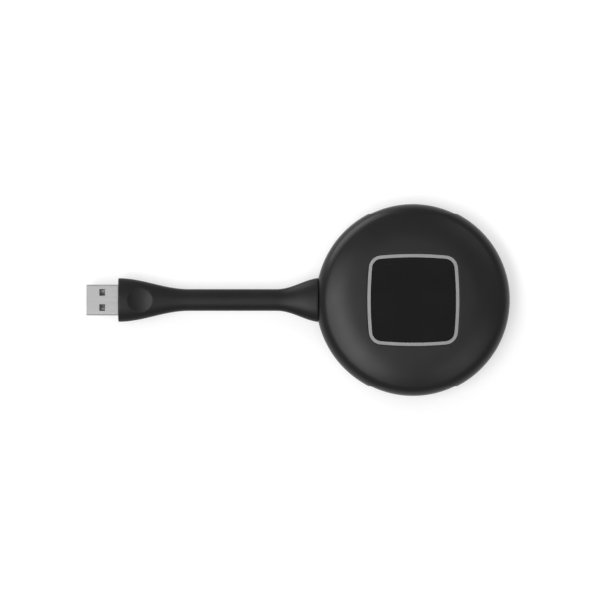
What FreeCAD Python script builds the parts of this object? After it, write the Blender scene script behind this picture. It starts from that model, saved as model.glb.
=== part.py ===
import FreeCAD, Part

import math
import os
from types import SimpleNamespace

import Sketcher
from FreeCAD import Placement, Rotation, Vector

# Wireless screen sharing dongle: a round puck with a square push button, a short flexible arm and a USB type A plug.
# Frame: origin at the centre of the puck on the surface that it stands on, +Z up, the plug points along -X.

# Driving dimensions, in millimetres and degrees.
DIMENSIONS = {
    # Round case
    "puck_radius": 37.85,
    "crown_height": 16.5,
    "dome_radius": 340.0,
    "haunch_inset": 15.35,
    "haunch_radius": 45.0,
    "shoulder_radius": 6.0,
    "base_round": 5.6,
    "base_clear": 0.6,
    "seam_height": 7.35,
    "wall": 1.7,
    "lip_height": 1.2,
    "lip_thick": 0.8,
    "lip_clear": 0.1,
    "grip_depth": 4.27,
    "grip_inset": 0.4,
    "land_depth": 0.95,
    # Foot pad
    "foot_inset": 6.85,
    "foot_thick": 1.2,
    "foot_clear": 0.15,
    # Square light ring and button, as a square with bowed sides
    "ring_half": 17.76,
    "ring_side_radius": 141.0,
    "ring_corner": 4.93,
    "ring_width": 1.24,
    "ring_proud": 0.05,
    "opening_clear": 0.1,
    "seat_depth": 3.3,
    "seat_width": 2.6,
    "flange_width": 2.0,
    "flange_thick": 1.0,
    "channel_clear": 0.15,
    "reflector_height": 1.9,
    "reflector_floor": 0.6,
    "well_wall": 1.1,
    "button_gap": 0.15,
    "button_recess": 0.1,
    "lens_depth": 2.1,
    "carrier_thick": 1.0,
    "button_travel": 0.4,
    "stop_clear": 0.05,
    "travel_spare": 0.2,
    "nub_radius": 2.5,
    "hook_width": 5.6,
    "hook_thick": 0.9,
    "hook_reach": 0.7,
    "hook_height": 0.45,
    "hook_clear": 0.4,
    # Push switch
    "switch_half": 3.1,
    "switch_height": 1.8,
    "switch_floor": 0.3,
    "snap_radius": 2.3,
    "snap_height": 0.85,
    "snap_thick": 0.12,
    "snap_clear": 0.1,
    "plunger_radius": 1.6,
    "plunger_clear": 0.08,
    "plunger_proud": 0.8,
    # Status lamps
    "led_length": 2.0,
    "led_width": 1.2,
    "led_height": 0.6,
    "led_pitch": 9.0,
    "led_clear": 0.2,
    # Circuit boards
    "key_board_half": 23.0,
    "key_board_corner": 2.5,
    "boss_clear": 0.3,
    "key_board_thick": 0.8,
    "main_board_gap": 1.85,
    "main_board_thick": 1.0,
    "main_board_stand": 2.5,
    "main_board_setback": 4.5,
    # Housing screws and their posts
    "post_inset": 9.25,
    "post_angle": 22.0,
    "post_radius": 3.0,
    "boss_radius": 2.7,
    "post_drop": 0.55,
    "post_clear": 0.3,
    "housing_screw_radius": 1.0,
    "housing_screw_length": 6.6,
    "housing_head_radius": 1.9,
    "housing_head_height": 1.3,
    "head_clear": 0.2,
    "hole_clear": 0.15,
    # Screws of the two boards and of the cable clamp
    "key_screw_radius": 0.8,
    "key_screw_length": 2.8,
    "key_head_radius": 1.4,
    "key_head_height": 0.6,
    "key_post_radius": 2.1,
    "board_screw_inset": 3.7,
    "board_screw_angle": 53.9,
    "board_screw_radius": 1.0,
    "board_screw_length": 2.9,
    "board_head_radius": 1.9,
    "board_head_height": 1.2,
    "board_post_radius": 2.5,
    "pilot_spare": 0.3,
    # Cable way through the case wall
    "exit_half_width": 6.0,
    "exit_half_height": 2.5,
    "exit_clear": 0.1,
    "exit_border": 2.5,
    "exit_rise": 0.75,
    "exit_thick": 2.7,
    "exit_skin": 0.9,
    "flange_grip": 0.7,
    "relief_flange_thick": 1.5,
    "saddle_gap": 5.4,
    "saddle_length": 4.5,
    "saddle_half_width": 6.5,
    "clamp_margin": 0.4,
    "clamp_height": 2.4,
    "clamp_screw_y": 4.3,
    "clamp_screw_radius": 0.8,
    "clamp_screw_depth": 3.0,
    "clamp_head_radius": 1.5,
    "clamp_head_height": 0.9,
    # Arm
    "collar_half_width": 8.75,
    "collar_half_height": 4.3,
    "neck_half_width": 4.25,
    "neck_half_height": 2.8,
    "grip_half_width": 8.55,
    "grip_half_height": 4.3,
    "root_flare_length": 18.2,
    "root_flare_hidden": 1.9,
    "tip_flare_length": 28.0,
    "tip_flare_hidden": 0.25,
    "arm_length": 78.05,
    "relief_length": 9.6,
    "grip_length": 21.0,
    "cable_radius": 1.9,
    "cable_bore": 1.4,
    "cable_clear": 0.15,
    "jacket_end": 1.0,
    "wire_radius": 0.4,
    "wire_offset": 0.5,
    "dimple_setback": 8.55,
    "dimple_radius": 4.98,
    "dimple_depth": 1.3,
    "dimple_floor_radius": 35.0,
    # Connector of the cable
    "header_length": 4.8,
    "header_half_width": 4.2,
    "header_height": 3.2,
    "header_wall": 0.5,
    "header_setback": 0.2,
    "connector_clear": 0.1,
    "connector_reach": 2.1,
    # USB type A plug
    "shell_half_width": 6.0,
    "shell_half_height": 2.25,
    "shell_wall": 0.3,
    "shell_corner": 0.6,
    "shell_exposed": 12.35,
    "shell_hidden": 6.4,
    "window_setback": 5.08,
    "window_length": 2.2,
    "window_half_width": 1.28,
    "window_y": 2.95,
    "tongue_setback": 0.8,
    "tongue_clear": 0.1,
    "tongue_rise": 0.05,
    "tongue_block": 4.6,
    "contact_thick": 0.25,
    "contact_half_width": 0.5,
    "contact_setback": 0.7,
    "contact_step": 1.0,
    "contact_inner_y": 1.0,
    "contact_outer_y": 3.5,
    "contact_tail": 2.9,
    "contact_clear": 0.02,
    "core_length": 7.0,
    "core_half_width": 5.2,
    "core_half_height": 2.2,
    "core_corner": 1.0,
    "core_end_wall": 2.0,
    "core_wall": 0.6,
    # Electronics
    "chip_thin": 0.9,
    "processor_x": 4.0,
    "processor_half": 7.5,
    "processor_height": 1.2,
    "spreader_half": 14.0,
    "spreader_thick": 0.7,
    "thermal_half": 7.0,
    "memory_gap": 1.0,
    "memory_inset": 2.8,
    "memory_pitch": 11.0,
    "memory_half_x": 4.5,
    "memory_half_y": 5.0,
    "flash_gap": 3.0,
    "flash_half_x": 4.0,
    "flash_half_y": 3.0,
    "shield_x": 10.5,
    "shield_y": 11.0,
    "shield_half_x": 8.5,
    "shield_half_y": 8.0,
    "shield_height": 2.0,
    "shield_sheet": 0.2,
    "radio_half": 4.0,
    "inductor_x": 9.5,
    "inductor_y": 15.0,
    "inductor_pitch": 6.5,
    "inductor_half": 2.5,
    "inductor_height": 2.2,
    "capacitor_y": 10.5,
    "capacitor_pitch": 2.5,
    "capacitor_half_x": 0.4,
    "capacitor_half_y": 0.8,
    "capacitor_height": 0.8,
    "crystal_x": 14.0,
    "crystal_y": 5.0,
    "crystal_half_x": 1.6,
    "crystal_half_y": 1.25,
    "link_x": 3.0,
    "link_y": 17.0,
    "link_half_x": 7.0,
    "link_half_y": 2.0,
    "link_socket_height": 1.8,
    "antenna_inset": 9.1,
    "antenna_width": 4.5,
    "antenna_half_length": 8.0,
    "antenna_height": 3.2,
    "antenna_sheet": 0.3,
    "antenna_leg": 1.2,
    "antenna_feed_x": 3.0,
}
CAPACITOR_COUNT = 8
DIAGONAL = math.sqrt(2)
# Cross recess of a screw, as shares of its head's radius
SLOT_REACH = 0.6
SLOT_WIDTH = 0.12

document = FreeCAD.newDocument("screen_sharing_dongle")
sheet = document.addObject("Spreadsheet::Sheet", "Sizes")
for row, (alias, number) in enumerate(DIMENSIONS.items(), start=1):
    sheet.set(f"A{row}", alias)
    sheet.set(f"B{row}", str(number))
    sheet.setAlias(f"B{row}", alias)
document.recompute()


class Size:
    """A length or an angle: its number, and the formula on the sheet's cells that gives it."""

    def __init__(self, value, formula=None):
        self.value = float(value)
        self.formula = formula or repr(float(value))

    def _with(self, other, sign, value):
        return Size(value, f"({self.formula} {sign} {other.formula})")

    def __add__(self, other):
        other = as_size(other)
        return self._with(other, "+", self.value + other.value)

    def __radd__(self, other):
        return as_size(other) + self

    def __sub__(self, other):
        other = as_size(other)
        return self._with(other, "-", self.value - other.value)

    def __rsub__(self, other):
        return as_size(other) - self

    def __mul__(self, other):
        other = as_size(other)
        return self._with(other, "*", self.value * other.value)

    def __rmul__(self, other):
        return as_size(other) * self

    def __truediv__(self, other):
        other = as_size(other)
        return self._with(other, "/", self.value / other.value)

    def __neg__(self):
        return Size(0, "0") - self


def as_size(number):
    return number if isinstance(number, Size) else Size(number)


def root(size):
    return Size(math.sqrt(size.value), f"sqrt({size.formula})")


def cosine(degrees):
    return Size(math.cos(math.radians(degrees.value)), f"cos({degrees.formula})")


def sine(degrees):
    return Size(math.sin(math.radians(degrees.value)), f"sin({degrees.formula})")


def side_of(long_side, short_side):
    """The other short side of a right triangle."""
    return root(long_side * long_side - short_side * short_side)


d = SimpleNamespace(**{name: Size(number, f"Sizes.{name}") for name, number in DIMENSIONS.items()})
ZERO = Size(0, "0")
ALONG_X = Rotation(Vector(0, 1, 0), 90)
ACROSS_ARM = Rotation(Vector(1, 1, 1), 120)
subparts = {}


# Helpers for features, all tied to the sheet

def tie(item, name, size):
    item.setExpression(name, size.formula)


def place(item, x, y, z, rotation=None):
    item.Placement = Placement(Vector(x.value, y.value, z.value), rotation or Rotation())
    tie(item, "Placement.Base.x", x)
    tie(item, "Placement.Base.y", y)
    tie(item, "Placement.Base.z", z)


def keep(label, item):
    """Gives a finished sub-part the label that names its file."""
    item.Label = label
    subparts[label] = item
    return item


def block(name, x, y, z):
    """Box between pairs of limits."""
    item = document.addObject("Part::Box", name)
    tie(item, "Length", x[1] - x[0])
    tie(item, "Width", y[1] - y[0])
    tie(item, "Height", z[1] - z[0])
    place(item, x[0], y[0], z[0])
    return item


def about(centre, half):
    return (centre - half, centre + half)


def rod(name, x, y, z, radius, length, rotation=None):
    item = document.addObject("Part::Cylinder", name)
    tie(item, "Radius", radius)
    tie(item, "Height", length)
    place(item, x, y, z, rotation)
    return item


def ball(name, z, radius):
    item = document.addObject("Part::Sphere", name)
    tie(item, "Radius", radius)
    place(item, ZERO, ZERO, z)
    return item


def fuse(name, items):
    item = document.addObject("Part::MultiFuse", name)
    item.Shapes = list(items)
    item.Refine = True
    return item


def cut(name, base, tools):
    item = document.addObject("Part::Cut", name)
    item.Base = base
    item.Tool = tools[0] if len(tools) == 1 else fuse(name + "_tools", tools)
    item.Refine = False
    return item


def common(name, items):
    item = document.addObject("Part::MultiCommon", name)
    item.Shapes = list(items)
    return item


def group(name, items):
    item = document.addObject("Part::Compound", name)
    item.Links = list(items)
    return item


def new_body(name):
    return document.addObject("PartDesign::Body", name)


def origin_plane(body, role):
    return next(item for item in body.Origin.OriginFeatures if item.Role == role)


def new_sketch(body, name, role="XY_Plane", height=ZERO):
    sketch = body.newObject("Sketcher::SketchObject", name)
    sketch.AttachmentSupport = [(origin_plane(body, role), "")]
    sketch.MapMode = "FlatFace"
    sketch.AttachmentOffset = Placement(Vector(0, 0, height.value), Rotation())
    tie(sketch, "AttachmentOffset.Base.z", height)
    return sketch


def fix_coordinate(sketch, kind, axis, edge, end, size):
    """Holds one coordinate of an edge's end, on the sketch's axis where it is zero."""
    if size.formula == "0":
        sketch.addConstraint(Sketcher.Constraint("PointOnObject", edge, end, axis))
        return
    index = sketch.addConstraint(Sketcher.Constraint(kind, edge, end, size.value))
    tie(sketch, f"Constraints[{index}]", size)


def arc_between(start, end, radius, turn):
    """The short arc from start to end that turns left (+1) or right (-1), as a counter-clockwise edge."""
    chord = end - start
    middle = (start + end) * 0.5
    rise = math.sqrt(max(radius * radius - chord.Length ** 2 / 4, 0))
    left = Vector(-chord.y, chord.x, 0).normalize()
    centre = middle + left * (rise * turn)
    first, last = (start, end) if turn > 0 else (end, start)
    angle_1 = math.atan2(first.y - centre.y, first.x - centre.x)
    angle_2 = math.atan2(last.y - centre.y, last.x - centre.x)
    circle = Part.Circle(centre, Vector(0, 0, 1), radius)
    return Part.ArcOfCircle(circle, angle_1, angle_2)


def draw_outline(sketch, corners):
    """Closed outline. A corner is (x, y), or (x, y, radius, turn) where an arc leaves it."""
    edges = []
    for index, corner in enumerate(corners):
        after = corners[(index + 1) % len(corners)]
        start = Vector(corner[0].value, corner[1].value, 0)
        end = Vector(after[0].value, after[1].value, 0)
        if len(corner) == 2:
            edge = sketch.addGeometry(Part.LineSegment(start, end), False)
            edges.append((edge, 1, 2))
            continue
        radius, turn = corner[2:]
        edge = sketch.addGeometry(arc_between(start, end, radius.value, turn), False)
        edges.append((edge, 1, 2) if turn > 0 else (edge, 2, 1))
    for index, corner in enumerate(corners):
        edge, start, end = edges[index]
        after_edge, after_start, _ = edges[(index + 1) % len(edges)]
        sketch.addConstraint(Sketcher.Constraint("Coincident", edge, end, after_edge, after_start))
        fix_coordinate(sketch, "DistanceX", -2, edge, start, corner[0])
        fix_coordinate(sketch, "DistanceY", -1, edge, start, corner[1])
        if len(corner) > 2:
            number = sketch.addConstraint(Sketcher.Constraint("Radius", edge, corner[2].value))
            tie(sketch, f"Constraints[{number}]", corner[2])


def draw_circle(sketch, x, y, radius):
    circle = Part.Circle(Vector(x.value, y.value, 0), Vector(0, 0, 1), radius.value)
    edge = sketch.addGeometry(circle, False)
    fix_coordinate(sketch, "DistanceX", -2, edge, 3, x)
    fix_coordinate(sketch, "DistanceY", -1, edge, 3, y)
    number = sketch.addConstraint(Sketcher.Constraint("Radius", edge, radius.value))
    tie(sketch, f"Constraints[{number}]", radius)


def rounded_rectangle(x, y, half_x, half_y, corner):
    """Corners of a rectangle with round corners, counter-clockwise."""
    inner_x, inner_y = half_x - corner, half_y - corner
    return [
        (x - inner_x, y - half_y),
        (x + inner_x, y - half_y, corner, 1),
        (x + half_x, y - inner_y),
        (x + half_x, y + inner_y, corner, 1),
        (x + inner_x, y + half_y),
        (x - inner_x, y + half_y, corner, 1),
        (x - half_x, y + inner_y),
        (x - half_x, y - inner_y, corner, 1),
    ]


def ring_corner_centre():
    """Distance of a corner's arc centre from both axes. It is the same for all outlines parallel to the ring."""
    side_centre = d.ring_half - d.ring_side_radius
    reach = d.ring_side_radius - d.ring_corner
    return (side_centre + root(2 * reach * reach - side_centre * side_centre)) / 2


def bowed_square(offset):
    """Outline parallel to the light ring's outer edge: four bowed sides and four round corners."""
    side = d.ring_side_radius + offset
    corner = d.ring_corner + offset
    side_centre = d.ring_half - d.ring_side_radius
    reach = side - corner
    corner_centre = ring_corner_centre()
    far = side_centre + (corner_centre - side_centre) * side / reach
    near = corner_centre * side / reach
    return [
        (far, -near, side, 1),
        (far, near, corner, 1),
        (near, far, side, 1),
        (-near, far, corner, 1),
        (-far, near, side, 1),
        (-far, -near, corner, 1),
        (-near, -far, side, 1),
        (near, -far, corner, 1),
    ]


def pad(body, name, z, outlines):
    """Adds material between two heights over outlines, circles or both."""
    sketch = new_sketch(body, name + "_outline", height=z[0])
    for shape in outlines:
        if isinstance(shape, list):
            draw_outline(sketch, shape)
        else:
            draw_circle(sketch, *shape)
    feature = body.newObject("PartDesign::Pad", name)
    feature.Profile = sketch
    tie(feature, "Length", z[1] - z[0])
    body.Tip = feature
    return feature


def pocket(body, name, z, outlines):
    """Removes material between two heights, and makes sure that some went."""
    document.recompute()
    before = body.Shape.Volume
    sketch = new_sketch(body, name + "_outline", height=z[0])
    for shape in outlines:
        if isinstance(shape, list):
            draw_outline(sketch, shape)
        else:
            draw_circle(sketch, *shape)
    feature = body.newObject("PartDesign::Pocket", name)
    feature.Profile = sketch
    feature.Reversed = True
    tie(feature, "Length", z[1] - z[0])
    body.Tip = feature
    document.recompute()
    if body.Shape.Volume >= before:
        raise RuntimeError(f"{name} cut nothing")
    return feature


def revolve(body, name, corners):
    """Turns an outline in the XZ plane about the Z axis."""
    sketch = new_sketch(body, name + "_outline", "XZ_Plane")
    draw_outline(sketch, corners)
    feature = body.newObject("PartDesign::Revolution", name)
    feature.Profile = sketch
    feature.ReferenceAxis = (sketch, ["V_Axis"])
    feature.Angle = 360
    body.Tip = feature
    return feature


def plate(label, x, y, half_x, half_y, corner, z):
    """A flat sub-part with round corners."""
    body = new_body(label)
    pad(body, label + "_plate", z, [rounded_rectangle(x, y, half_x, half_y, corner)])
    return keep(label, body)


def screw(name, x, y, z, radius, length, head_radius, head_height, points_up):
    """A pan head screw with a cross recess. z is where the head meets its seat."""
    head_z, shank_z, slot_z = z, z - length, z + head_height / 2
    if points_up:
        head_z, shank_z, slot_z = z - head_height, z, z - head_height
    head = rod(name + "_head", x, y, head_z, head_radius, head_height)
    shank = rod(name + "_shank", x, y, shank_z, radius, length)
    slot = (slot_z, slot_z + head_height / 2)
    reach, half_slot = head_radius * SLOT_REACH, head_radius * SLOT_WIDTH
    slot_1 = block(name + "_slot_a", about(x, reach), about(y, half_slot), slot)
    slot_2 = block(name + "_slot_b", about(x, half_slot), about(y, reach), slot)
    return cut(name, fuse(name + "_blank", [head, shank]), [slot_1, slot_2])


# Levels and shared places

crown = d.crown_height
seam = d.seam_height
arm_z = d.seam_height
floor_z = d.base_clear + d.wall
case_inner = d.puck_radius - d.wall
dome_centre = crown - d.dome_radius
haunch_start = d.puck_radius - d.haunch_inset
haunch_share = (d.dome_radius - d.haunch_radius) / d.dome_radius
haunch_x = haunch_start * haunch_share
haunch_z = dome_centre + side_of(d.dome_radius, haunch_start) * haunch_share
shoulder_x = d.puck_radius - d.shoulder_radius
shoulder_z = haunch_z + side_of(d.haunch_radius - d.shoulder_radius, shoulder_x - haunch_x)
base_x = d.puck_radius - d.base_round
base_z = d.base_clear + d.base_round
lip_outer = case_inner - d.lip_clear
lip_inner = lip_outer - d.lip_thick
post_top = seam - d.post_drop
post_circle = d.puck_radius - d.post_inset
foot_radius = d.puck_radius - d.foot_inset
land_x = d.land_depth - d.puck_radius
exit_inner_x = land_x + d.exit_thick

seat_z = crown - d.seat_depth
reflector_top = seat_z - d.flange_thick
key_top = reflector_top - d.reflector_height
key_bottom = key_top - d.key_board_thick
main_bottom = floor_z + d.main_board_stand
main_top = main_bottom + d.main_board_thick
main_radius = lip_inner - d.main_board_gap
board_screw_x = (main_radius - d.board_screw_inset) * cosine(d.board_screw_angle)
board_screw_y = (main_radius - d.board_screw_inset) * sine(d.board_screw_angle)
antenna_near = main_radius - d.antenna_inset
key_post = d.key_board_half - d.key_board_corner

grip_face_x = land_x - d.arm_length
plug_tip_x = grip_face_x - d.shell_exposed
shell_rear_x = grip_face_x + d.shell_hidden
core_rear_x = shell_rear_x + d.core_length
relief_end_x = land_x - d.relief_length
grip_start_x = grip_face_x + d.grip_length
saddle_x = (land_x + d.saddle_gap, land_x + d.saddle_gap + d.saddle_length)
main_cut_x = saddle_x[1] + d.main_board_setback
header_x = main_cut_x + d.header_setback
memory_x = header_x + d.header_length + d.memory_gap + d.memory_half_x
memory_y = antenna_near - d.memory_inset - d.memory_half_y
flash_y = memory_y - d.memory_pitch - d.memory_half_y - d.flash_gap - d.flash_half_y
wire_start_x = header_x - d.connector_reach
wire_end_x = core_rear_x - d.core_end_wall - d.jacket_end
jacket_start_x = wire_start_x - d.jacket_end
jacket_end_x = wire_end_x + d.jacket_end

INSIDE_RING = ZERO - d.ring_width
BUTTON_EDGE = INSIDE_RING - d.button_gap
WELL_OUTER = INSIDE_RING - d.channel_clear
WELL_INNER = WELL_OUTER - d.well_wall


def dome_point(inset):
    """Where the haunch meets the dome, on the surface inset from the outside."""
    share = (d.dome_radius - inset) / d.dome_radius
    return haunch_start * share, dome_centre + side_of(d.dome_radius, haunch_start) * share


def haunch_point(inset):
    """Where the shoulder meets the haunch, on the surface inset from the outside."""
    share = (d.haunch_radius - inset) / (d.haunch_radius - d.shoulder_radius)
    return haunch_x + (shoulder_x - haunch_x) * share, haunch_z + (shoulder_z - haunch_z) * share


def under_haunch(radius):
    """Height of the middle of the wall at a radius of the haunch, where a boss ends."""
    return haunch_z + side_of(d.haunch_radius, radius - haunch_x) - d.wall / 2


def four_posts(circle_radius):
    """Circles at the four housing screws."""
    x = post_circle * cosine(d.post_angle)
    y = post_circle * sine(d.post_angle)
    return [(sign_x * x, sign_y * y, circle_radius) for sign_x in (1, -1) for sign_y in (1, -1)]


def four_corners(x, y, circle_radius):
    return [(sign_x * x, sign_y * y, circle_radius) for sign_x in (1, -1) for sign_y in (1, -1)]


# Case

def whole_case(name, inset):
    """The case as one solid, inset from its outside, as a cutting tool."""
    body = new_body(name)
    dome_r, dome_h = dome_point(inset)
    haunch_r, haunch_h = haunch_point(inset)
    revolve(body, name + "_turned", [
        (ZERO, d.base_clear + inset),
        (base_x, d.base_clear + inset, d.base_round - inset, 1),
        (d.puck_radius - inset, base_z),
        (d.puck_radius - inset, shoulder_z, d.shoulder_radius - inset, 1),
        (haunch_r, haunch_h, d.haunch_radius - inset, 1),
        (dome_r, dome_h, d.dome_radius - inset, 1),
        (ZERO, crown - inset),
    ])
    return body


def grip_relief(name, inset_case, side):
    """What the shallow finger relief takes off one side of the case."""
    chord = d.puck_radius - d.grip_depth
    y = (chord, chord + 2 * d.grip_depth) if side > 0 else (-chord - 2 * d.grip_depth, -chord)
    slab = block(name + "_slab", about(ZERO, d.puck_radius), y, (ZERO, crown))
    return cut(name, slab, [inset_case])


def case_tools(name, inset_case):
    """Cuts that both covers share: the reliefs, the arm's land and its way through the wall."""
    way_x = (land_x - d.wall, exit_inner_x)
    way = block(name + "_way", way_x, about(ZERO, d.exit_half_width + d.exit_clear),
                about(arm_z, d.exit_half_height + d.exit_clear))
    land = block(name + "_land", (land_x - d.land_depth * 2, land_x),
                 about(ZERO, d.puck_radius / 2), (ZERO, crown))
    reliefs = [grip_relief(f"{name}_relief_{side}", inset_case, sign)
               for side, sign in (("a", 1), ("b", -1))]
    return [way, land] + reliefs


exit_block = [
    (land_x + d.exit_skin, -(d.exit_half_width + d.exit_border)),
    (exit_inner_x, -(d.exit_half_width + d.exit_border)),
    (exit_inner_x, d.exit_half_width + d.exit_border),
    (land_x + d.exit_skin, d.exit_half_width + d.exit_border),
]


def rectangle(x, y):
    return [(x[0], y[0]), (x[1], y[0]), (x[1], y[1]), (x[0], y[1])]


def top_cover():
    body = new_body("top_cover_body")
    dome_r, dome_h = dome_point(ZERO)
    haunch_r, haunch_h = haunch_point(ZERO)
    inner_dome_r, inner_dome_h = dome_point(d.wall)
    inner_haunch_r, inner_haunch_h = haunch_point(d.wall)
    revolve(body, "top_shell", [
        (case_inner, seam),
        (d.puck_radius, seam),
        (d.puck_radius, shoulder_z, d.shoulder_radius, 1),
        (haunch_r, haunch_h, d.haunch_radius, 1),
        (dome_r, dome_h, d.dome_radius, 1),
        (ZERO, crown),
        (ZERO, crown - d.wall, d.dome_radius - d.wall, -1),
        (inner_dome_r, inner_dome_h, d.haunch_radius - d.wall, -1),
        (inner_haunch_r, inner_haunch_h, d.shoulder_radius - d.wall, -1),
        (case_inner, shoulder_z),
    ])
    opening = bowed_square(d.opening_clear)
    rim_reach = ring_corner_centre() * DIAGONAL + d.ring_corner + d.seat_width
    pad(body, "ring_seat", (seat_z, under_haunch(rim_reach)), [bowed_square(d.seat_width)])
    pocket(body, "ring_opening", (seam, crown), [opening])
    boss_top = under_haunch(post_circle + d.boss_radius)
    pad(body, "screw_bosses", (post_top, boss_top), four_posts(d.boss_radius))
    pilot_top = d.foot_thick + d.housing_head_height + d.housing_screw_length + d.pilot_spare * 3
    pocket(body, "screw_pilots", (post_top, pilot_top), four_posts(d.housing_screw_radius))
    key_reach = key_post * DIAGONAL + d.key_post_radius
    key_post_top = under_haunch(key_reach)
    pad(body, "key_posts", (key_top, key_post_top), four_corners(key_post, key_post, d.key_post_radius))
    key_pilot_top = key_bottom + d.key_screw_length + d.pilot_spare
    pocket(body, "key_pilots", (key_top, key_pilot_top),
           four_corners(key_post, key_post, d.key_screw_radius))
    pad(body, "exit_block", (seam, arm_z + d.exit_half_height + d.exit_rise), [exit_block])
    tools = case_tools("top", whole_case("top_inset", d.grip_inset))
    return keep("top_cover", cut("top_cover", body, tools))


def bottom_cover():
    body = new_body("bottom_cover_body")
    inner_round = d.base_round - d.wall
    lip_foot = base_z - side_of(inner_round, lip_inner - base_x)
    revolve(body, "bottom_shell", [
        (ZERO, d.base_clear),
        (base_x, d.base_clear, d.base_round, 1),
        (d.puck_radius, base_z),
        (d.puck_radius, seam),
        (lip_outer, seam),
        (lip_outer, seam + d.lip_height),
        (lip_inner, seam + d.lip_height),
        (lip_inner, lip_foot, inner_round, -1),
        (base_x, floor_z),
        (ZERO, floor_z),
    ])
    pocket(body, "foot_recess", (d.base_clear, d.foot_thick), [(ZERO, ZERO, foot_radius + d.foot_clear)])
    pad(body, "screw_posts", (floor_z, post_top), four_posts(d.post_radius))
    seat = d.foot_thick + d.head_clear + d.housing_head_height
    pocket(body, "head_recesses", (d.foot_thick, seat), four_posts(d.housing_head_radius + d.head_clear))
    pocket(body, "screw_holes", (seat, post_top), four_posts(d.housing_screw_radius + d.hole_clear))
    pad(body, "board_posts", (floor_z, main_bottom),
        four_corners(board_screw_x, board_screw_y, d.board_post_radius))
    board_pilot = main_top - d.board_screw_length - d.pilot_spare
    pocket(body, "board_pilots", (board_pilot, main_bottom),
           four_corners(board_screw_x, board_screw_y, d.board_screw_radius))
    pad(body, "exit_block_low", (arm_z - d.exit_half_height - d.exit_rise, seam), [exit_block])
    saddle = rectangle(saddle_x, about(ZERO, d.saddle_half_width))
    pad(body, "cable_saddle", (floor_z, arm_z), [saddle])
    saddle_middle = (saddle_x[0] + saddle_x[1]) / 2
    pocket(body, "clamp_pilots", (arm_z - d.clamp_screw_depth, arm_z),
           [(saddle_middle, sign * d.clamp_screw_y, d.clamp_screw_radius) for sign in (1, -1)])
    channel = rod("cable_channel", land_x, ZERO, arm_z, d.cable_radius + d.cable_clear,
                  saddle_x[1] - land_x, ALONG_X)
    lip_gap = block("lip_gap", (land_x, exit_inner_x + d.wall),
                    about(ZERO, d.exit_half_width + d.exit_border + d.post_clear),
                    (seam, seam + d.lip_height * 2))
    tools = case_tools("bottom", whole_case("bottom_inset", d.grip_inset))
    return keep("bottom_cover", cut("bottom_cover", body, tools + [channel, lip_gap]))


def foot_pad():
    body = new_body("foot_pad")
    pad(body, "foot_disc", (ZERO, d.foot_thick), [(ZERO, ZERO, foot_radius)])
    keep("foot_pad", body)


def housing_screws():
    seat = d.foot_thick + d.head_clear + d.housing_head_height
    screws = [
        screw(f"housing_screw_{index}", x, y, seat, radius, d.housing_screw_length,
              d.housing_head_radius, d.housing_head_height, True)
        for index, (x, y, radius) in enumerate(four_posts(d.housing_screw_radius))
    ]
    keep("housing_screws", group("housing_screws", screws))


# Button and light ring

def domed(label, body, inset):
    """Ends an upright piece at a surface parallel to the case's dome."""
    return keep(label, common(label, [body, ball(label + "_dome", dome_centre, d.dome_radius - inset)]))


def light_guide():
    body = new_body("light_guide_body")
    leg_bottom = key_top + d.led_height + d.led_clear
    pad(body, "guide_flange", (reflector_top, seat_z),
        [bowed_square(d.flange_width), bowed_square(INSIDE_RING)])
    pad(body, "guide_rim", (leg_bottom, crown + d.ring_proud),
        [bowed_square(ZERO), bowed_square(INSIDE_RING)])
    domed("light_guide", body, -d.ring_proud)


def reflector_frame():
    body = new_body("reflector_frame_body")
    pad(body, "reflector_block", (key_top, reflector_top),
        [bowed_square(d.flange_width), bowed_square(WELL_INNER)])
    pocket(body, "guide_channel", (key_top + d.reflector_floor, reflector_top),
           [bowed_square(d.channel_clear), bowed_square(WELL_OUTER)])
    windows = []
    for x, y, half_x, half_y in led_places(d.led_clear):
        windows.append(rectangle(about(x, half_x), about(y, half_y)))
    pocket(body, "led_windows", (key_top, key_top + d.reflector_floor), windows)
    inside = d.ring_half + WELL_INNER
    depth = inside + d.hook_reach + d.channel_clear
    half = d.hook_width / 2 + d.hook_clear
    rows = [block("hook_way_x", about(ZERO, depth), about(ZERO, half), (key_top, hook_top())),
            block("hook_way_y", about(ZERO, half), about(ZERO, depth), (key_top, hook_top()))]
    keep("reflector_frame", cut("reflector_frame", body, rows))


def hook_top():
    """Underside of the lintels that the button's hooks catch on."""
    return key_top + d.button_travel + d.travel_spare + d.hook_height + d.stop_clear


def led_places(clear):
    """Centre and half sizes of each lamp, three along each side of the ring."""
    middle = d.ring_half - d.ring_width / 2
    sag = d.led_pitch * d.led_pitch / (2 * d.ring_side_radius)
    half_long, half_wide = d.led_length / 2 + clear, d.led_width / 2 + clear
    places = []
    for step in (-1, 0, 1):
        along = step * d.led_pitch if step else ZERO
        out = middle - sag if step else middle
        for sign in (1, -1):
            places.append((sign * out, along, half_wide, half_long))
            places.append((along, sign * out, half_long, half_wide))
    return places


def status_leds():
    lamps = [
        block(f"led_{index}", about(x, half_x), about(y, half_y), (key_top, key_top + d.led_height))
        for index, (x, y, half_x, half_y) in enumerate(led_places(ZERO))
    ]
    keep("status_leds", group("status_leds", lamps))


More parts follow.
